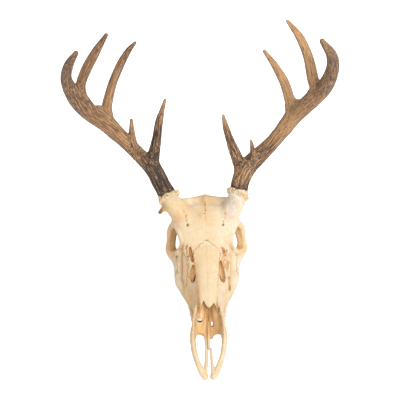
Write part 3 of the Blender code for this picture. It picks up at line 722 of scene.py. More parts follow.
marks = {
    # x, s, reach in x, reach in s, strength
    "stainAndShade": (
        (-9, 241, 6, 6, 0.8), (-1, 226, 2.6, 15, 0.6), (-29, 221, 4, 11, 0.9), (28, 213, 3, 9, 0.6),
        (-40, 209, 6, 12, 0.8), (41, 207, 5, 9, 0.4),
        (-40, 150, 8, 36, 0.15), (-23, 116, 6, 18, 0.5), (23, 112, 4, 12, 0.3), (-60, 219, 6, 6, 1.6),
        (6, 240, 3, 8, 0.5),
        (-16, 186, 12, 8, 0.25), (12, 172, 8, 10, 0.3), (-2, 150, 5, 16, 0.25), (-14, 96, 6, 8, 0.4),
        # (-15, 128) is painted shade along the right flank of the nasals, which turns from the light; the
        # other rows are stains
        (15, 95, 5, 8, 0.4), (-15, 128, 5, 34, 0.85), (-13, 105, 4, 12, 0.5), (0, 60, 30, 40, 0.25),
        (5, 132, 11, 34, 0.22),
    ),
    "brown": ((-66, 218, 3.5, 4, 2), (-59, 224, 5, 6, 0.5), (-50, 229, 8, 5, 0.4), (-8, 212, 4, 5, 0.25)),
    "chalk": (
        (44, 178, 16, 60, 0.9), (40, 222, 16, 16, 0.9), (-46, 165, 8, 30, 0.5), (22, 110, 6, 20, 0.5),
    ),
    "lilac": (
        (-38, 168, 4, 9, 0.3), (-37.6, 154, 4, 10, 0.3), (-36.6, 138, 3.4, 9, 0.2),
        (31, 231, 9, 7, 0.6), (39, 219, 8, 8, 0.8), (23, 222, 6, 8, 0.3), (33, 209, 7, 6, 0.6),
        (-14, 222, 9, 9, 0.25), (-34, 205, 6, 6, 0.2),
    ),
}


def blobs(points, rows):
    total = np.zeros(len(points))
    for x, s, across, lengthwise, strength in rows:
        apart = ((points[:, 0] - x) / across) ** 2 + ((points[:, 1] - s) / lengthwise) ** 2
        total += strength * np.exp(-apart)
    return total


boneSurface = {
    "rough": ((0.22, 11, 3), (0.16, 4, 4), (0.1, 1.9, 5)),   # height, size in mm and seed
    "smoothBelow": 3,   # mm above the floor
    "open": 4,   # mm out from the surface where free room counts, for the painted shade in recesses
    # mm out that the painted shade in creases looks for free room
    "crease": 1.6,
    "bar": (43, 3),   # where the orbit's outer bar starts, and the mm over which it does
    "socket": (1.6, 1.3, 2.8),   # reach, more of it on the bar, mm for each unit
    "socketAbove": 44,
    "far": 9.0,
    # strength, width, the s behind which it shows, in front of which its share shows, lowest z
    "middle": (0.25, 0.5, 206, 180, 0.5, 60),
    "seam": (0.36, 0.6),   # strength, width
    "faded": (-2, 150, 75, 0.3),   # the seam behind the right nasal: x, s, z, and the share that shows
    "upper": 3,   # how soon marks fade where the bone turns away from above
    "tooth": (16, 4, 0.9),   # top of the enamel, mm over which it ends, mm from the crown
}


def skin(name, values, low, step=skull["step"], edges=None):  # mesh of one bone, with what its material reads
    look = boneSurface
    points, quads = largest(*skinned(values, low, step))
    normals = normalsOf(points, quads)
    raised = noises(points, look["rough"]) * np.clip(points[:, 2] / look["smoothBelow"], 0, 1)
    points = points + normals * raised[:, None]
    points[:, 2] = np.maximum(points[:, 2], 0)
    mesh = meshFrom(name, points, quads)
    outward = normals if edges is None else outwardOf(carved, points)
    around = np.min([distance(*points.T) for _, _, distance in paired(ball(*hollow["orbit"]))], axis=0)
    x, s, z = points.T
    barFrom, barOver = look["bar"]
    onBar = np.clip((np.abs(x) - barFrom) / barOver, 0, 1)
    reach, more, unit = look["socket"]
    near = np.full(len(points), look["far"])
    for rows in edges or ():
        near = np.minimum(near, np.abs(territory(rows, x, s, z)))
    strength, width, behind, front, share, lowest = look["middle"]
    shownAt = ((s > behind) + share * (s < front)) * (z > lowest)
    faint = strength * np.exp(-(midline(x, s) / width) ** 2) * shownAt
    strength, width = look["seam"]
    fadeX, fadeS, fadeZ, left = look["faded"]
    shown = strength * np.where((x < fadeX) & (s > fadeS) & (z > fadeZ), left, 1)
    upper = np.clip(normals[:, 2] * look["upper"], 0, 1)
    top, over, crown = look["tooth"]

    def room(mm):
        return np.minimum(carved.at(points + outward * mm) / mm, 1)

    addValues(mesh, {
        "depth": -solid.at(points),
        # free room out from the surface, which the material turns into painted shade in recesses and creases
        "open": room(look["open"]),
        "crease": room(look["crease"]),
        "socket": np.clip(reach + more * onBar - np.abs(around) / unit, 0, 1) * (z > look["socketAbove"]),
        "seam": np.maximum(shown * np.exp(-(near / width) ** 2), faint),
        "stainAndShade": np.clip(blobs(points, marks["stainAndShade"]) * upper, 0, 1),
        "lilac": np.clip(blobs(points, marks["lilac"]) * upper, 0, 1),
        "brown": np.clip(blobs(points, marks["brown"]), 0, 1),
        "chalky": np.clip(blobs(points, marks["chalk"]), 0, 1),
        "enamel": np.clip((top - z) / over, 0, 1) * (np.abs(toothField.at(points)) < crown),
    })
    return mesh


boneMeshes = {}
rest = carved.values.copy()
edges = []
gap = layout["seam"]
for kind, rows in bones.items():
    table = np.array(rows, float)
    room = waves["room"]
    wide = table[:, 2].max() + room
    corner = (-wide, table[0, 0] - room, table[:, 3].min() - room)
    cut, axes = carved.part(corner, (wide, table[-1, 0] + room, table[:, 4].max() + room))
    low = carved.low + np.array([piece.start for piece in cut]) * skull["step"]
    inside = territory(rows, *axes)
    pair = smoothMax(rest[cut], inside, waves["blend"])
    if kind == "nasal":
        pair = smoothMax(pair, np.interp(axes[0], *np.array(nasalTips).T) - axes[1], 1)
    rest[cut] = smoothMax(rest[cut], gap - inside, waves["blend"])
    edges.append(rows)
    middle = midline(axes[0], axes[1])
    lap, under = layout["lap"]
    for side, beyond, lower in (("_left", -middle - lap, 0), ("_right", middle - lap, under)):
        halved = smoothMax(pair + lower, beyond, 0.2)
        boneMeshes[kind + side] = skin(kind + side, halved, low, edges=edges)
boneMeshes["braincase"] = skin("braincase", rest, carved.low, edges=edges)

vomerRows = (
    (0, 45, 21.5, 1.6, 2), (0, 49, 22.5, 2.3, 3.2), (0, 60, 26, 2.6, 4.5), (0, 78, 31, 2.7, 6.5),
    (0, 98, 36, 2.5, 9.5), (0, 116, 42, 2.2, 13),
)
vomerTrough = ((0, 84, 52), (1.3, 40, 16))   # middle and radii
vomerBox = ((-6, 38, 12), (6, 122, 60))
vomer = Field(*vomerBox, skull["step"] / 1.6)   # thin, so on a finer grid
vomer.add(sweep(vomerRows, gap=2.5))
vomer.carve(ball(*vomerTrough), blend=1)
boneMeshes["vomer"] = skin("vomer", vomer.values, vomer.low, vomer.step)


# Both antlers, each one field with its tines
print("growing the antlers")
antlers = {
    "step": 0.85,
    "forkBlend": {"beam": 0, "browTine": 7, "smallTine": 3, "secondTine": 9, "thirdTine": 5},
    "webBlend": 12,
    "grooveWidth": 3.3,   # mm across a groove and its ridge
    "grooveLength": 75,
    "coronetRadius": 13.8,
    "coronetHalf": 2.4,
    "coronetBlend": 2.5,
    "room": 20,
    "upperSide": (0.1, -0.52, 0.85),   # the side the light comes from; the beams get painted shade as they turn away from it
    "shadeTurn": (0.75, 1.2, 0.8),   # where the painted shade starts, how fast it comes, how strong it is
    "mix": 1.6,   # mm over which a tine takes the beam's surface
}
# Noises are rows of height, size in mm and seed
antlerSurface = {
    "fine": (2.1, 2.1, 2.4),   # the fine grain against the coarse one
    "relief": (1.1, 0.5, 0.45),   # coarse grain, fine grain, and what is taken off
    "seeds": (7, 8),
    "rugged": (0.2, 0.8, 1.4, 90),   # least, more low on the beam, its start, mm of fade
    "byRadius": ((2, 5, 9, 13), (0.03, 0.4, 0.8, 1)),   # radius in mm, strength of the grain
    "lumps": ((0.5, 9, 21), (0.35, 4, 22)),
    "lumpsAlong": ((0, 0.2, 0.9, 1), (0.5, 0.25, 0.18, 0)),   # share of the length, strength
    "knobs": ((2.5, 2.8, 23), (1.3, 7, 26)),
    "knobsAt": (1.5, 3.6),   # strength at the burr, mm for each unit away from it
    "fromBurr": (1, 6),   # the grain starts this far out, and comes over so many mm
    "ragged": ((1.6, 3.5, 24), (1.2, 9, 25)),
    "bleached": (1.2, 2),   # strength at the burr, mm for each unit away from it
    "crevice": (0.9, 0.25),   # depth, and what is taken off
    "collar": (4.2, 2),   # mm from the burr, width
    # strength at the burr, mm along for each unit, weight of the dark places, and what is taken off
    "pearly": (1.2, 110, 1.6, 0.4),
    "clear": 3,   # mm out from the burr without pearls
}
# Rows are out, up and forward from the burr, radius; tones are share of the length, dark, gold, grey
rightAntler = {
    "side": -1,
    "collar": ((1, 3.5, 0, 13), (8.8, 16.7, -6, 12.2)),   # what the burr stands square to
    "coronetShift": 1.4,
    "burr": (-53, 235, 132),
    "branches": {
        "beam": (
            (1, 3.5, 0, 13), (8.8, 16.7, -6, 12.2), (20.4, 39.2, -14, 12.1), (39, 58.9, -16.2, 10.4),
            (56.9, 79.1, -13, 10.7),
            (81.8, 107, 6, 11.5), (106.6, 132.4, 37, 12.2), (121, 157.6, 75, 12), (129, 186.3, 117, 8),
            (122.2, 209.5, 153, 6.6),
            (109.2, 228.5, 185, 3.4),
        ),
        "browTine": ((21.6, 49.6, -14, 8.7), (14.6, 82, -10, 6.1), (9.4, 111, -3, 4.9), (0, 142, 5, 2.1)),
        "smallTine": (
            (46, 68, -9, 6.6), (48.6, 84, -7.5, 5.4), (49.4, 98, -7.5, 4.1), (49.4, 112.5, -9, 2.3),
        ),
        "secondTine": (
            (71.5, 95, -2, 6.8), (82, 114, 4, 7.8), (83.4, 128, 4.5, 7.7), (81.6, 141, 3, 7.2),
            (73.9, 167, -2, 6.3), (62.2, 192.3, -9, 6), (50.3, 211.6, -11, 4.4), (40, 223, -9, 2.2),
        ),
        "thirdTine": (
            (106.4, 137.4, 38, 7.4), (112.4, 158, 67, 7.1), (112.4, 176.7, 84, 6.8),
            (102.8, 199, 88, 7), (89.9, 220.6, 92, 6.1), (74.6, 243.5, 97, 2.8),
        ),
    },
    "webs": ((93.6, 130.5, 16, 5.2), (99, 129.6, 24, 4.4)),
    "tones": {
        "beam": (
            (0, 1, 0, 0), (0.12, 0.95, 0, 0), (0.2, 0.62, 0.1, 0), (0.3, 0.28, 0.35, 0),
            (0.5, 0.3, 0.25, 0), (0.66, 0.42, 0.05, 0.15), (0.8, 0.34, 0, 0.55), (0.94, 0.2, 0.1, 0.7),
            (1, 0.05, 0.1, 0.6),
        ),
        "browTine": (
            (0, 0.9, 0, 0), (0.45, 0.85, 0, 0), (0.7, 0.5, 0.1, 0), (0.88, 0.2, 0.4, 0), (1, 0, 0.8, 0),
        ),
        "smallTine": ((0, 0.4, 0.2, 0), (0.6, 0.25, 0.3, 0), (1, 0, 0.5, 0.2)),
        "secondTine": ((0, 0.22, 0.45, 0), (0.4, 0.14, 0.5, 0), (0.8, 0.25, 0.1, 0.3), (1, 0.3, 0, 0.7)),
        "thirdTine": (
            (0, 0.9, 0, 0), (0.2, 0.8, 0, 0), (0.36, 0.2, 0.5, 0), (0.65, 0.35, 0.1, 0.2),
            (1, 0.4, 0, 0.5),
        ),
    },
}
leftAntler = {
    "side": 1,
    "collar": ((0.4, 3, 0, 12.6), (9, 18, -6, 12.6)),
    "coronetShift": 1.2,
    "burr": (48, 235, 135),
    "branches": {
        "beam": (
            (0.4, 3, 0, 12.6), (3.8, 18, -6, 12.9), (13.4, 35.5, -13, 13.4), (30.5, 52.2, -15.6, 12.2),
            (52, 73.1, -12.4, 10.4),
            (78.8, 108, 5, 11.1), (102.4, 136.6, 37, 11.9), (119.7, 160.5, 73, 11.2),
            (126.4, 187.5, 117, 9.2), (123, 210.5, 153, 7.6),
            (108, 233, 184, 3.7),
        ),
        "browTine": (
            (5, 36, -12, 9), (-1.9, 55.2, -8, 7.2), (-10.3, 78, -5, 5.6), (-15.9, 97, -1.5, 4.2),
            (-19, 115, 2, 2.1),
        ),
        "smallTine": ((21.5, 44, -6.5, 5.6), (22, 58, -5, 4.2), (21.6, 67, -6, 3.2), (20, 76.8, -8, 1.6)),
        "secondTine": (
            (67.5, 93, -2, 7), (77.5, 112, 4, 8), (77.4, 126, 4.5, 7.6), (75, 138, 4, 7.4),
            (68.4, 160.4, -1, 6.9), (56, 183.4, -7, 5.1), (41.7, 203.8, -9, 2.6),
        ),
        "thirdTine": (
            (103.2, 137, 39, 8.4), (108.6, 155.5, 56, 8.6), (104.2, 172, 65, 7.9), (98, 201.7, 69, 6.9),
            (86.8, 229, 70, 5.7), (70.4, 251.5, 73, 2.5),
        ),
    },
    "webs": ((87, 129.4, 12, 5.4),),
    "tones": {
        "beam": (
            (0, 0.9, 0.1, 0), (0.06, 0.55, 0.5, 0), (0.14, 0.75, 0.2, 0), (0.22, 0.6, 0.1, 0),
            (0.32, 0.12, 0.7, 0), (0.5, 0.14, 0.62, 0), (0.64, 0.34, 0.2, 0), (0.78, 0.34, 0.05, 0.35),
            (0.9, 0.15, 0.1, 0.6), (1, 0, 0.3, 0.5),
        ),
        "browTine": ((0, 0.7, 0.1, 0), (0.4, 0.65, 0, 0.2), (0.75, 0.4, 0.1, 0.2), (1, 0, 0.8, 0)),
        "smallTine": ((0, 0.5, 0, 0.2), (0.6, 0.35, 0, 0.4), (1, 0, 0.5, 0.1)),
        "secondTine": ((0, 0.2, 0.5, 0), (0.4, 0.05, 0.95, 0), (0.8, 0, 1, 0), (1, 0, 1, 0)),
        "thirdTine": (
            (0, 0.5, 0.2, 0), (0.3, 0.42, 0.6, 0), (0.6, 0.3, 0.9, 0), (0.85, 0.05, 1, 0),
            (1, 0, 0.9, 0.2),
        ),
    },
}


def standing(antler, rows):  # from the burr's own axes to x, s, z, which lie 45 degrees over
    out, up, forward, radius = np.array(rows, float).T
    x, s, z = antler["burr"]
    lean = math.sqrt(0.5)
    places = (x + antler["side"] * out, s + (up - forward) * lean, z + (up + forward) * lean)
    return np.stack([*places, radius, radius], axis=1)


def coronet(antler):  # the ring of the burr
    rows = standing(antler, antler["collar"])
    axis = rows[1, :3] - rows[0, :3]
    axis /= np.linalg.norm(axis)
    across = np.cross(axis, (0, 1, 0))
    across /= np.linalg.norm(across)
    centre = np.array(antler["burr"]) + (-antler["side"] * antler["coronetShift"], 0, 0)
    thick = antlers["coronetHalf"]
    ring = []
    for turn in np.linspace(0, 2 * math.pi, 12, endpoint=False):
        spoke = math.cos(turn) * across + math.sin(turn) * np.cross(axis, across)
        ring.append((*(centre + antlers["coronetRadius"] * spoke), thick, thick))
    return ring, axis


# For each point: distance to a branch, place along it, offset in its turning axes, its radius and length
def strandsOf(points, rows, batch=8000):
    steps = np.linalg.norm(np.diff(rows[:, :3], axis=0), axis=1)
    along = np.concatenate([[0], np.cumsum(steps)])
    nearest = np.empty(len(points), int)
    for start in range(0, len(points), batch):
        block = points[start:start + batch]
        nearest[start:start + batch] = ((block[:, None] - rows[None, :, :3]) ** 2).sum(axis=2).argmin(axis=1)
    tangent = np.gradient(rows[:, :3], axis=0)
    tangent /= np.linalg.norm(tangent, axis=1, keepdims=True)
    side = np.cross(tangent[0], (0.3, 0.2, 1))
    sides = []
    for direction in tangent:
        side = side - direction * (side @ direction)
        side = side / np.linalg.norm(side)
        sides.append(side)
    sides = np.array(sides)
    offset = points - rows[nearest, :3]
    lengthwise = (offset * tangent[nearest]).sum(axis=1)
    offset = offset - tangent[nearest] * lengthwise[:, None]
    a = (offset * sides[nearest]).sum(axis=1)
    b = (offset * np.cross(tangent, sides)[nearest]).sum(axis=1)
    radius = rows[nearest, 3]
    away = np.hypot(np.hypot(a, b), np.clip(np.abs(lengthwise) - 2, 0, None)) - radius
    return away, along[nearest] + lengthwise, a, b, radius, along[-1]


def grow(name, antler):
    branches = {key: standing(antler, rows) for key, rows in antler["branches"].items()}
    corners = np.concatenate([rows[:, :3] for rows in branches.values()])
    room = antlers["room"]
    field = Field(corners.min(axis=0) - room, corners.max(axis=0) + room, antlers["step"])
    for key, rows in branches.items():
        field.add(sweep(rows), antlers["forkBlend"][key])
    for x, s, z, radius, _ in standing(antler, antler["webs"]):
        field.add(ball((x, s, z), (radius, radius, radius)), antlers["webBlend"])
    ring, axis = coronet(antler)
    field.add(sweep(ring, up=axis, closed=True), antlers["coronetBlend"])
    points, quads = largest(*skinned(field.values, field.low, antlers["step"]))
    normals = normalsOf(points, quads)
    look = antlerSurface
    shares, found = [], []
    for key, rows in branches.items():
        away, along, a, b, radius, whole = strandsOf(points, smoothRows(rows, 2))
        turn = np.hypot(a, b) + tiny["square"]
        around = radius / antlers["grooveWidth"]
        strand = np.stack([a / turn * around, b / turn * around, along / antlers["grooveLength"]], axis=1)
        coarseSeed, fineSeed = look["seeds"]
        coarse = np.abs(softNoise(strand, 1, coarseSeed))
        fine = np.abs(softNoise(strand * look["fine"], 1, fineSeed))
        share = np.clip(along / whole, 0, 1)
        least, more, start, fade = look["rugged"]
        rugged = least + more * np.clip(start - along / fade, 0, 1) * (key in ("beam", "browTine"))
        wide, narrow, off = look["relief"]
        relief = (wide * coarse + narrow * fine - off) * (np.interp(radius, *look["byRadius"]) * rugged)
        tones = [np.interp(share, *np.array(antler["tones"][key]).T[[0, k]]) for k in (1, 2, 3)]
        found.append(np.column_stack([relief, *tones, strand, along, share]))
        shares.append(away)
    shares = np.array(shares)
    weights = np.exp(-(shares - shares.min(axis=0)) / antlers["mix"])
    weights /= weights.sum(axis=0)
    blended = (weights[..., None] * np.array(found)).sum(axis=0)
    relief, dark, gold, grey = blended[:, :4].T
    along, share = blended[:, 7:].T
    fromBurr = (points - np.array(antler["burr"])) @ axis
    knobbly = noises(points, look["knobs"])
    strength, unit = look["knobsAt"]
    atBurr = np.clip(strength - np.abs(fromBurr) / unit, 0, 1)
    start, over = look["fromBurr"]
    raised = relief * np.clip((fromBurr - start) / over, 0, 1)
    raised = raised + noises(points, look["lumps"]) * np.interp(share, *look["lumpsAlong"]) + atBurr * knobbly
    points = points + normals * raised[:, None]
    mesh = meshFrom(name, points, quads)
    ragged = noises(points, look["ragged"], fromBurr)
    paleness, fade = look["bleached"]
    depth, off = look["crevice"]
    collarAt, collarWide = look["collar"]
    pearls, reach, onDark, lighter = look["pearly"]
    clear = fromBurr > look["clear"]
    edge, steep, strength = antlers["shadeTurn"]
    facing = normals @ np.array(antlers["upperSide"])
    addValues(mesh, {
        "relief": relief,
        "dark": dark,
        "gold": gold,
        "grey": grey,
        "bleached": np.clip(paleness - ragged / fade, 0, 1),
        "crevice": np.clip(-depth * knobbly - off, 0, 1) * atBurr,
        "collar": np.exp(-((ragged - collarAt) / collarWide) ** 2),
        "pearly": np.clip(pearls - along / reach, 0, 1) * np.clip(dark * onDark - lighter, 0, 1) * clear,
        # painted shade on the faces turned away from the upper side
        "under": strength * np.clip((edge - facing) / edge, 0, 1) ** steep * clear,
    })
    strands = mesh.attributes.new("strand", "FLOAT_VECTOR", "POINT")
    strands.data.foreach_set("vector", blended[:, 4:7].astype(np.float32).ravel())
    return mesh


antlerRows = {"antler_right": rightAntler, "antler_left": leftAntler}
antlerMeshes = {name: grow(name, antler) for name, antler in antlerRows.items()}


# Nodes, for shapes and for materials
def feed(tree, node, inputs):  # links an input, or sets it
    for socket, value in inputs.items():
        if isinstance(value, bpy.types.NodeSocket):
            tree.links.new(value, node.inputs[socket])
        else:
            node.inputs[socket].default_value = value


def put(tree, kind, inputs=None, **settings):  # a node with its settings and inputs
    node = tree.nodes.new(kind)
    for name, value in settings.items():
        setattr(node, name, value)
    feed(tree, node, inputs or {})
    return node


def newTree(name, kind, takes, gives):
    tree = bpy.data.node_groups.new(name, kind)
    for title, what, value in takes:
        socket = tree.interface.new_socket(title, in_out="INPUT", socket_type="NodeSocket" + what)
        if value is not None:
            socket.default_value = value
    for title, what in gives:
        tree.interface.new_socket(title, in_out="OUTPUT", socket_type="NodeSocket" + what)
    return tree, tree.nodes.new("NodeGroupInput").outputs, tree.nodes.new("NodeGroupOutput").inputs


# Pearls on the lower beams and beads round the burrs, both by Geometry Nodes
def growthTree(name, takes):
    takes = (("Geometry", "Geometry", None), *takes, ("Finish", "Material", None))
    return newTree(name, "GeometryNodeTree", takes, (("Geometry", "Geometry"),))


def scattered(tree, taken, points, turn, low, high):  # one bead to a point, each of its own size
    bead = put(tree, "GeometryNodeMeshIcoSphere", {"Radius": taken["Radius"], "Subdivisions": 2})
    size = unevenly(tree, taken, low, high)
    links = {"Points": points, "Instance": bead.outputs["Mesh"], "Rotation": turn, "Scale": size}
    return put(tree, "GeometryNodeInstanceOnPoints", links).outputs[0]


def unevenly(tree, taken, low, high):
    inputs = {0: low, 1: high, "Seed": taken["Seed"]}
    return put(tree, "FunctionNodeRandomValue", inputs, data_type="FLOAT_VECTOR").outputs[0]


def finished(tree, shape, taken, given):
    real = put(tree, "GeometryNodeRealizeInstances", {0: shape}).outputs[0]
    done = put(tree, "GeometryNodeSetMaterial", {"Geometry": real, "Material": taken["Finish"]}).outputs[0]
    tree.links.new(done, given[0])
    return tree


beadLook = {
    # least and most size, and for the burr beads how far they turn
    "pearl": ((0.6, 0.6, 0.3), (1.25, 1.5, 0.7)),
    "burr": ((0.4, 0.4, 0.5), (1.4, 1.4, 1.7)),
    "turn": ((0, 0, 0), (3, 3, 3)),
}


def pearlTree():
    takes = (
        ("Spacing", "Float", 0.003), ("Density", "Float", 60000.0),
        ("Radius", "Float", 0.001), ("Seed", "Int", 3),
    )
    tree, taken, given = growthTree("Pearls", takes)
    source = taken["Geometry"]
    where = put(tree, "GeometryNodeInputNamedAttribute", {"Name": "pearly"}, data_type="FLOAT").outputs[0]
    links = {
        "Mesh": source, "Distance Min": taken["Spacing"], "Density Max": taken["Density"],
        "Density Factor": where, "Seed": taken["Seed"],
    }
    dots = put(tree, "GeometryNodeDistributePointsOnFaces", links, distribute_method="POISSON").outputs
    pearls = scattered(tree, taken, dots["Points"], dots["Rotation"], *beadLook["pearl"])
    both = tree.nodes.new("GeometryNodeJoinGeometry")
    for shape in (pearls, source):
        tree.links.new(shape, both.inputs[0])
    return finished(tree, both.outputs[0], taken, given)


def beadTree():
    takes = (("Count", "Int", 26), ("Radius", "Float", 0.0026), ("Seed", "Int", 4))
    tree, taken, given = growthTree("Burr beads", takes)
    ring = put(tree, "GeometryNodeMeshToCurve", {"Mesh": taken["Geometry"]}).outputs[0]
    ring = put(tree, "GeometryNodeResampleCurve", {"Curve": ring, "Count": taken["Count"]}).outputs[0]
    beads = scattered(tree, taken, ring, unevenly(tree, taken, *beadLook["turn"]), *beadLook["burr"])
    return finished(tree, beads, taken, given)


def treeApplied(name, mesh, tree, values):  # the plain mesh that a tree makes of another
    source = bpy.data.objects.new(name, mesh)
    bpy.context.scene.collection.objects.link(source)
    modifier = source.modifiers.new(name, "NODES")
    modifier.node_group = tree
    for socket in tree.interface.items_tree:
        if socket.in_out == "INPUT" and socket.name in values:
            modifier[socket.identifier] = values[socket.name]
    made = bpy.data.meshes.new_from_object(source.evaluated_get(bpy.context.evaluated_depsgraph_get()))
    bpy.data.objects.remove(source)
    made.name = name
    made.shade_smooth()
    return made


def ringMesh(name, antler, lift, wider):
    ring, axis = coronet(antler)
    rows = smoothRows(ring, 2, closed=True)[:-1, :3]
    middle = rows.mean(axis=0)
    places = middle + (rows - middle) * wider + axis * lift
    mesh = bpy.data.meshes.new(name)
    count = len(places)
    mesh.from_pydata(toWorld(places).tolist(), [(k, (k + 1) % count) for k in range(count)], [])
    return mesh


# Materials
print("mixing the materials")


def mix(tree, factor, a, b, how="MIX"):
    return put(tree, "ShaderNodeMix", {0: factor, 6: a, 7: b}, data_type="RGBA", blend_type=how).outputs[2]


def coated(tree, base, coats):  # colours laid over one another, each by its mask
    for mask, tint in coats:
        base = mix(tree, mask, base, tint)
    return base


def spread(tree, value, low, high, first=0, last=1):
    inputs = {0: value, 1: low, 2: high, 3: first, 4: last}
    return put(tree, "ShaderNodeMapRange", inputs, interpolation_type="SMOOTHSTEP").outputs[0]


def reckon(tree, how, a, b=0.5, c=0.5):
    return put(tree, "ShaderNodeMath", {0: a, 1: b, 2: c}, operation=how).outputs[0]


def times(tree, a, b):
    return reckon(tree, "MULTIPLY", a, b)


def cloud(tree, place, size, detail=3, rough=0.55, warp=0.0):
    inputs = {"Vector": place, "Scale": size, "Detail": detail, "Roughness": rough, "Distortion": warp}
    return put(tree, "ShaderNodeTexNoise", inputs).outputs[0]


def patches(tree, place, noise, limits):  # noise is a cloud's values; limits are from, to, least and most
    return spread(tree, cloud(tree, place, *noise), *limits)


def greyOf(tree, value):
    return put(tree, "ShaderNodeCombineColor", {0: value, 1: value, 2: value}).outputs[0]


def valueOf(tree, name):
    return put(tree, "ShaderNodeAttribute", attribute_name=name).outputs["Fac"]


def colour(*screen):  # a screen colour, 0 to 255
    shares = [value / 255 for value in screen]
    return (*[v / 12.92 if v < 0.0431 else ((v + 0.055) / 1.055) ** 2.4 for v in shares], 1)


groupLook = {
    "blotch": (4, 0.6, 0.6),   # detail, roughness, warp
    "blotchEdge": 0.28,
    "hole": (0.12, 0.3, 1, 0),
    "where": (0.5, 0.66),
    "grain": (5, 0.7),
}


def blotchGroup():  # soft stains that come in patches
    takes = (("Vector", "Vector", None), ("Scale", "Float", 60.0), ("Cover", "Float", 0.5))
    group, taken, given = newTree("Blotches", "ShaderNodeTree", takes, (("Mask", "Float"),))
    wide = cloud(group, taken["Vector"], taken["Scale"], *groupLook["blotch"])
    low = reckon(group, "SUBTRACT", 1.0, taken["Cover"])
    high = reckon(group, "ADD", low, groupLook["blotchEdge"])
    group.links.new(spread(group, wide, low, high), given["Mask"])
    return group


def poreGroup():  # small dark pores, with a height for bump
    takes = (("Vector", "Vector", None), ("Scale", "Float", 500.0), ("Patches", "Float", 70.0))
    group, taken, given = newTree("Pores", "ShaderNodeTree", takes, (("Mask", "Float"), ("Height", "Float")))
    inputs = {"Vector": taken["Vector"], "Scale": taken["Scale"], "Randomness": 1.0}
    cells = put(group, "ShaderNodeTexVoronoi", inputs).outputs["Distance"]
    where = patches(group, taken["Vector"], (taken["Patches"], 2), groupLook["where"])
    mask = times(group, spread(group, cells, *groupLook["hole"]), where)
    grain = cloud(group, taken["Vector"], taken["Scale"], *groupLook["grain"])
    group.links.new(mask, given["Mask"])
    group.links.new(reckon(group, "SUBTRACT", grain, mask), given["Height"])
    return group


blotches = blotchGroup()
pores = poreGroup()


def grouped(tree, group, **inputs):
    return put(tree, "ShaderNodeGroup", inputs, node_tree=group).outputs


def newMaterial(name):
    material = bpy.data.materials.new(name)
    material.use_nodes = True
    tree = material.node_tree
    place = put(tree, "ShaderNodeTexCoord").outputs["Object"]
    return material, tree, tree.nodes["Principled BSDF"], place


def coloured(tree, shader, base, roughness, height, look):  # what both materials end with
    inputs = {"Height": height, "Strength": look["bump"], "Distance": look["bumpDepth"]}
    feed(tree, shader, {
        "Base Color": base,
        "Roughness": roughness,
        "Specular IOR Level": look["shine"],
        "Normal": put(tree, "ShaderNodeBump", inputs).outputs[0],
    })


boneLook = {
    "ivory": colour(213, 194, 161),
    "warm": colour(209, 182, 142),
    "chalk": colour(223, 213, 192),
    "inside": colour(226, 192, 142),
    "deep": colour(208, 168, 116),
    "creaseShade": colour(186, 148, 104),
    "mauve": colour(190, 172, 162),
    "grease": colour(206, 162, 106),
    "line": colour(150, 112, 76),
    "pore": colour(140, 98, 62),
    "scab": colour(118, 82, 54),
    "enamel": colour(226, 216, 196),
    "tartar": colour(140, 100, 62),
    # a cloud is size, detail, roughness and warp; a mask's limits are from, to, least and most
    "tone": (22, 3, 0.5, 0.4),
    "toneEdge": (0.38, 0.62),
    "insideEdge": (0.35, 0.65),
    "chalkBlotch": {"Scale": 34.0, "Cover": 0.46},
    "greaseBlotch": {"Scale": 48.0, "Cover": 0.42},
    "mottle": ((75, 4, 0.6, 0.8), (0.48, 0.66, 0, 0.3)),
    "patchy": ((140, 4, 0.65, 0.5), (0.35, 0.62, 0.25, 1)),
    "fine": ((420, 4, 0.7), (0.3, 0.7, 0.95, 1.03)),
    "broken": ((90, 2), (0.35, 0.6, 0.15, 0.8)),
    "tooth": ((260, 3), (0.5, 0.7)),
    "within": (0.8, 3.8),
    "recessShade": (0.95, 0.1),
    "lit": (0, 1, 1, 0.3),   # the broad inner faces of the eye sockets catch light
    "creaseEdge": (0.8, 0.0),
    "speck": {"Scale": 520.0, "Patches": 60.0},
    "strength": {
        "chalk": 0.8, "grease": 0.5, "stainAndShade": 0.8, "recessShade": 0.55,
        "socket": 0.8, "crease": 0.75, "speck": 0.7,
    },
    "roughness": (0.3, 0.7, 0.47, 0.65),
    "shine": 0.35,
    "bump": 0.35,
    "bumpDepth": 0.0004,
}


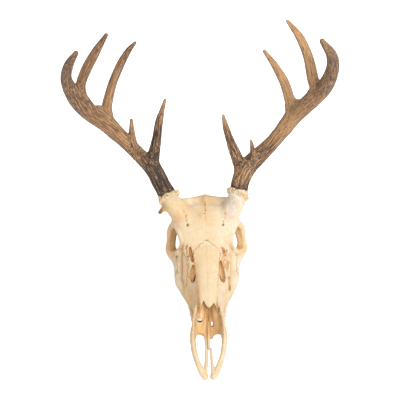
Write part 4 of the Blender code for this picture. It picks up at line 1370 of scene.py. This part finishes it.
def boneMaterial(look):
    material, tree, shader, place = newMaterial("bleached_bone")
    strong = look["strength"]
    tone = cloud(tree, place, *look["tone"])
    patchy = patches(tree, place, *look["patchy"])
    inner = mix(tree, spread(tree, tone, *look["insideEdge"]), look["inside"], look["deep"])
    chalky = grouped(tree, blotches, Vector=place, **look["chalkBlotch"])["Mask"]
    greasy = grouped(tree, blotches, Vector=place, **look["greaseBlotch"])["Mask"]
    base = coated(tree, look["warm"], (
        (spread(tree, tone, *look["toneEdge"]), look["ivory"]),
        (chalky, look["chalk"]),
        (times(tree, valueOf(tree, "chalky"), strong["chalk"]), look["chalk"]),
        (times(tree, greasy, strong["grease"]), look["grease"]),
        (patches(tree, place, *look["mottle"]), look["grease"]),
        # stains, and the painted shade on the nasals' right flank, in the grease tint
        (times(tree, times(tree, valueOf(tree, "stainAndShade"), patchy), strong["stainAndShade"]), look["grease"]),
        (times(tree, valueOf(tree, "lilac"), patchy), look["mauve"]),
    ))
    base = mix(tree, 1.0, base, greyOf(tree, patches(tree, place, *look["fine"])), "MULTIPLY")
    base = mix(tree, spread(tree, valueOf(tree, "depth"), *look["within"]), base, inner)
    # painted shade: the colour is multiplied darker where the surface has little free room around it, less so
    # in the eye sockets
    recessShade = spread(tree, valueOf(tree, "open"), *look["recessShade"])
    lit = spread(tree, valueOf(tree, "socket"), *look["lit"])
    recessShade = times(tree, recessShade, times(tree, lit, strong["recessShade"]))
    base = mix(tree, recessShade, base, look["inside"], "MULTIPLY")
    # painted shade in creases: a darker tan where there is little room close to the surface, less so in the
    # eye sockets
    crease = spread(tree, valueOf(tree, "crease"), *look["creaseEdge"])
    speck = grouped(tree, pores, Vector=place, **look["speck"])
    tooth = mix(tree, patches(tree, place, *look["tooth"]), look["enamel"], look["tartar"])
    base = coated(tree, base, (
        (times(tree, valueOf(tree, "socket"), strong["socket"]), inner),
        (times(tree, valueOf(tree, "seam"), patches(tree, place, *look["broken"])), look["line"]),
        (times(tree, crease, times(tree, lit, strong["crease"])), look["creaseShade"]),
        (times(tree, speck["Mask"], strong["speck"]), look["pore"]),
        (times(tree, valueOf(tree, "brown"), patchy), look["scab"]),
        (valueOf(tree, "enamel"), tooth),
    ))
    coloured(tree, shader, base, spread(tree, tone, *look["roughness"]), speck["Height"], look)
    return material


antlerLook = {
    "tan": colour(118, 80, 51),
    "gold": colour(194, 148, 101),
    "grey": colour(96, 76, 58),
    "dark": colour(46, 31, 23),
    "groove": colour(70, 44, 28),
    "rustAndShade": colour(92, 56, 34),
    "pale": colour(198, 160, 118),
    "bone": colour(212, 186, 144),
    "fibre": (1, 1, 0.8),
    "wide": (0.7, 2, 0.5),
    "streak": (2.1, 2, 0.5),
    "fineStreak": (4.8, 3, 0.7),
    "streakShare": (0.3, 0.7),   # of the streaks and the fine streaks in the grain
    "reliefShare": 0.05,
    "paleSweep": (0.5, 0.75, 0, 0.2),
    "darkSweep": (0.48, 0.28, 0, 0.35),
    "contrast": (0.35, 0.66),
    "ridge": (0.51, 0.59),
    "furrow": (0.5, 0.42),
    "level": (-3.4, 1.62),   # how the grain and the dark places make the darkest tone
    "levelEdge": (0.2, 1.0),
    "patch": {"Scale": 46.0, "Cover": 0.45},
    "dirt": ((330, 3, 0.6), (0.49, 0.6, 0, 0.6)),
    "speck": {"Scale": 650.0, "Patches": 90.0},
    "strength": {"patch": 0.3, "collar": 0.75, "crevice": 0.75, "speck": 0.4},
    "roughness": (0.3, 0.7, 0.4, 0.62),
    "shine": 0.4,
    "bump": 0.6,
    "bumpDepth": 0.0009,
}


def antlerMaterial(name, look):
    material, tree, shader, place = newMaterial(name)
    strong = look["strength"]
    strand = put(tree, "ShaderNodeAttribute", attribute_name="strand").outputs["Vector"]
    dark = valueOf(tree, "dark")
    fibre = put(tree, "ShaderNodeVectorMath", {0: strand, 1: look["fibre"]}, operation="MULTIPLY").outputs[0]
    wide = cloud(tree, fibre, *look["wide"])
    streak = cloud(tree, fibre, *look["streak"])
    share, fineShare = look["streakShare"]
    fine = times(tree, cloud(tree, fibre, *look["fineStreak"]), fineShare)
    both = reckon(tree, "MULTIPLY_ADD", streak, share, fine)
    grain = reckon(tree, "MULTIPLY_ADD", valueOf(tree, "relief"), look["reliefShare"], both)
    contrast = reckon(tree, "MULTIPLY_ADD", dark, *look["contrast"])
    onGrain, added = look["level"]
    level = reckon(tree, "MULTIPLY_ADD", grain, onGrain, reckon(tree, "ADD", dark, added))
    patch = grouped(tree, blotches, Vector=place, **look["patch"])["Mask"]
    speck = grouped(tree, pores, Vector=place, **look["speck"])
    base = coated(tree, look["tan"], (
        (valueOf(tree, "gold"), look["gold"]),
        (valueOf(tree, "grey"), look["grey"]),
        # painted shade on the faces turned away from the light, in the rust tint that also serves for real
        # dirt on the burr
        (valueOf(tree, "under"), look["rustAndShade"]),
        (spread(tree, wide, *look["paleSweep"]), look["pale"]),
        (spread(tree, wide, *look["darkSweep"]), look["groove"]),
        (times(tree, spread(tree, grain, *look["ridge"]), contrast), look["pale"]),
        (times(tree, spread(tree, grain, *look["furrow"]), contrast), look["groove"]),
        (spread(tree, level, *look["levelEdge"]), look["dark"]),
        (times(tree, patch, strong["patch"]), look["groove"]),
        (times(tree, valueOf(tree, "collar"), strong["collar"]), look["dark"]),
        (valueOf(tree, "bleached"), look["bone"]),
        (times(tree, valueOf(tree, "crevice"), strong["crevice"]), look["groove"]),
        (times(tree, patches(tree, place, *look["dirt"]), valueOf(tree, "bleached")), look["rustAndShade"]),
        (times(tree, speck["Mask"], strong["speck"]), look["dark"]),
    ))
    height = reckon(tree, "ADD", grain, speck["Height"])
    coloured(tree, shader, base, spread(tree, streak, *look["roughness"]), height, look)
    return material


boneFinish = boneMaterial(boneLook)
antlerFinish = antlerMaterial("antler", antlerLook)


# Pieces, each riding on the skull's one body
print("placing the pieces")
nodeNames = list(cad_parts)
for name, mesh in boneMeshes.items():
    piece = pieceFrom(name + "_bone", mesh, boneFinish)
    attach(piece, "root")
    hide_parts(name)
pearls = {"Spacing": 0.0028, "Density": 90000.0, "Radius": 0.00095, "Seed": 3}
beadRings = {
    # rise from the burr's middle in mm, share of its radius, and the tree's inputs
    "lower": (-1.6, 1.06, {"Count": 26, "Radius": 0.0023, "Seed": 4}),
    "upper": (1.4, 1.1, {"Count": 23, "Radius": 0.0021, "Seed": 9}),
}
pearlNodes = pearlTree()
beadNodes = beadTree()
for name, mesh in antlerMeshes.items():
    mesh.materials.append(antlerFinish)
    grown = treeApplied(name + "_whole", mesh, pearlNodes, {**pearls, "Finish": antlerFinish})
    piece = pieceFrom(name + "_whole", grown, antlerFinish)
    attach(piece, "root")
    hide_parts(*[node for node in nodeNames if node.startswith(name)])
    for ring, (lift, wider, values) in beadRings.items():
        title = name.replace("antler", "burr") + "_" + ring
        ringed = ringMesh(title, antlerRows[name], lift, wider)
        beads = treeApplied(title, ringed, beadNodes, {**values, "Finish": boneFinish})
        # full free room, so the beads get none of the painted shade in recesses and creases
        bare = np.ones(len(beads.vertices))
        addValues(beads, {"open": bare, "crease": bare})
        piece = pieceFrom(title, beads, boneFinish)
        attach(piece, "root")

# Floor, light and camera
studio = {
    "floorSize": 6,
    "floorGlow": 0.68,
    "worldStrength": 0.44,
    "lights": {
        # place, power, size
        "key": ((0.85, -1.05, 1.75), 61, 2.4),
        "fill": ((-1.3, -0.6, 1.0), 6, 1.6),
        "back": ((0.5, 1.5, 1.3), 14, 1.6),
    },
    "paper": ((3, 2), (0.3, 0.7, 0.76, 0.8)),
    "paperRoughness": 0.9,
    "white": (1, 1, 1, 1),
    "aim": (0, 0, 0.12),
}
bpy.ops.mesh.primitive_plane_add(size=studio["floorSize"])
floor = bpy.context.object
floor.name = "floor"
floorMaterial, tree, shader, place = newMaterial("paper_floor")
feed(tree, shader, {
    "Base Color": greyOf(tree, patches(tree, place, *studio["paper"])),
    "Roughness": studio["paperRoughness"],
    "Emission Color": studio["white"],
})
seen = put(tree, "ShaderNodeLightPath").outputs["Is Camera Ray"]
tree.links.new(times(tree, seen, studio["floorGlow"]), shader.inputs["Emission Strength"])
floor.data.materials.append(floorMaterial)

world = bpy.data.worlds.new("studio")
world.use_nodes = True
tree = world.node_tree
seen = put(tree, "ShaderNodeLightPath").outputs["Is Camera Ray"]
glow = reckon(tree, "MAXIMUM", seen, studio["worldStrength"])
feed(tree, tree.nodes["Background"], {"Color": studio["white"], "Strength": glow})
bpy.context.scene.world = world
for name, (place, power, size) in studio["lights"].items():
    light = bpy.data.lights.new(name, "AREA")
    light.energy = power
    light.size = size
    lamp = bpy.data.objects.new(name, light)
    lamp.location = place
    lamp.rotation_euler = (lamp.location - Vector(studio["aim"])).to_track_quat("Z", "Y").to_euler()
    bpy.context.scene.collection.objects.link(lamp)
bpy.context.scene.view_settings.view_transform = "Standard"

camera = {
    "target": (-7.4, 243, 111),
    "elevation": 56,
    "roll": -1.6,
    "distance": 2200,
    "pixel": 1.455,   # mm at the target
    "sensor": 36,
    "picture": 400,
    "seesTo": 20,   # metres
}
lens = camera["sensor"] * camera["distance"] / (camera["picture"] * camera["pixel"])
tilt, roll = math.radians(camera["elevation"]), math.radians(camera["roll"])
level = np.array([1, 0, 0])
rise = np.array([0, math.sin(tilt), math.cos(tilt)])
back = np.array([0, -math.cos(tilt), math.sin(tilt)])
across = level * math.cos(roll) + rise * math.sin(roll)
upward = rise * math.cos(roll) - level * math.sin(roll)
stand = np.array(camera["target"]) + back * camera["distance"] - (layout["middleX"], layout["middleS"], 0)
eye = bpy.data.objects.new("camera", bpy.data.cameras.new("camera"))
eye.data.lens = lens
eye.data.sensor_width = camera["sensor"]
eye.data.clip_end = camera["seesTo"]
turned = Matrix((across, upward, back)).transposed().to_4x4()
eye.matrix_world = Matrix.Translation(stand * layout["millimetre"]) @ turned
bpy.context.scene.collection.objects.link(eye)
bpy.context.scene.camera = eye
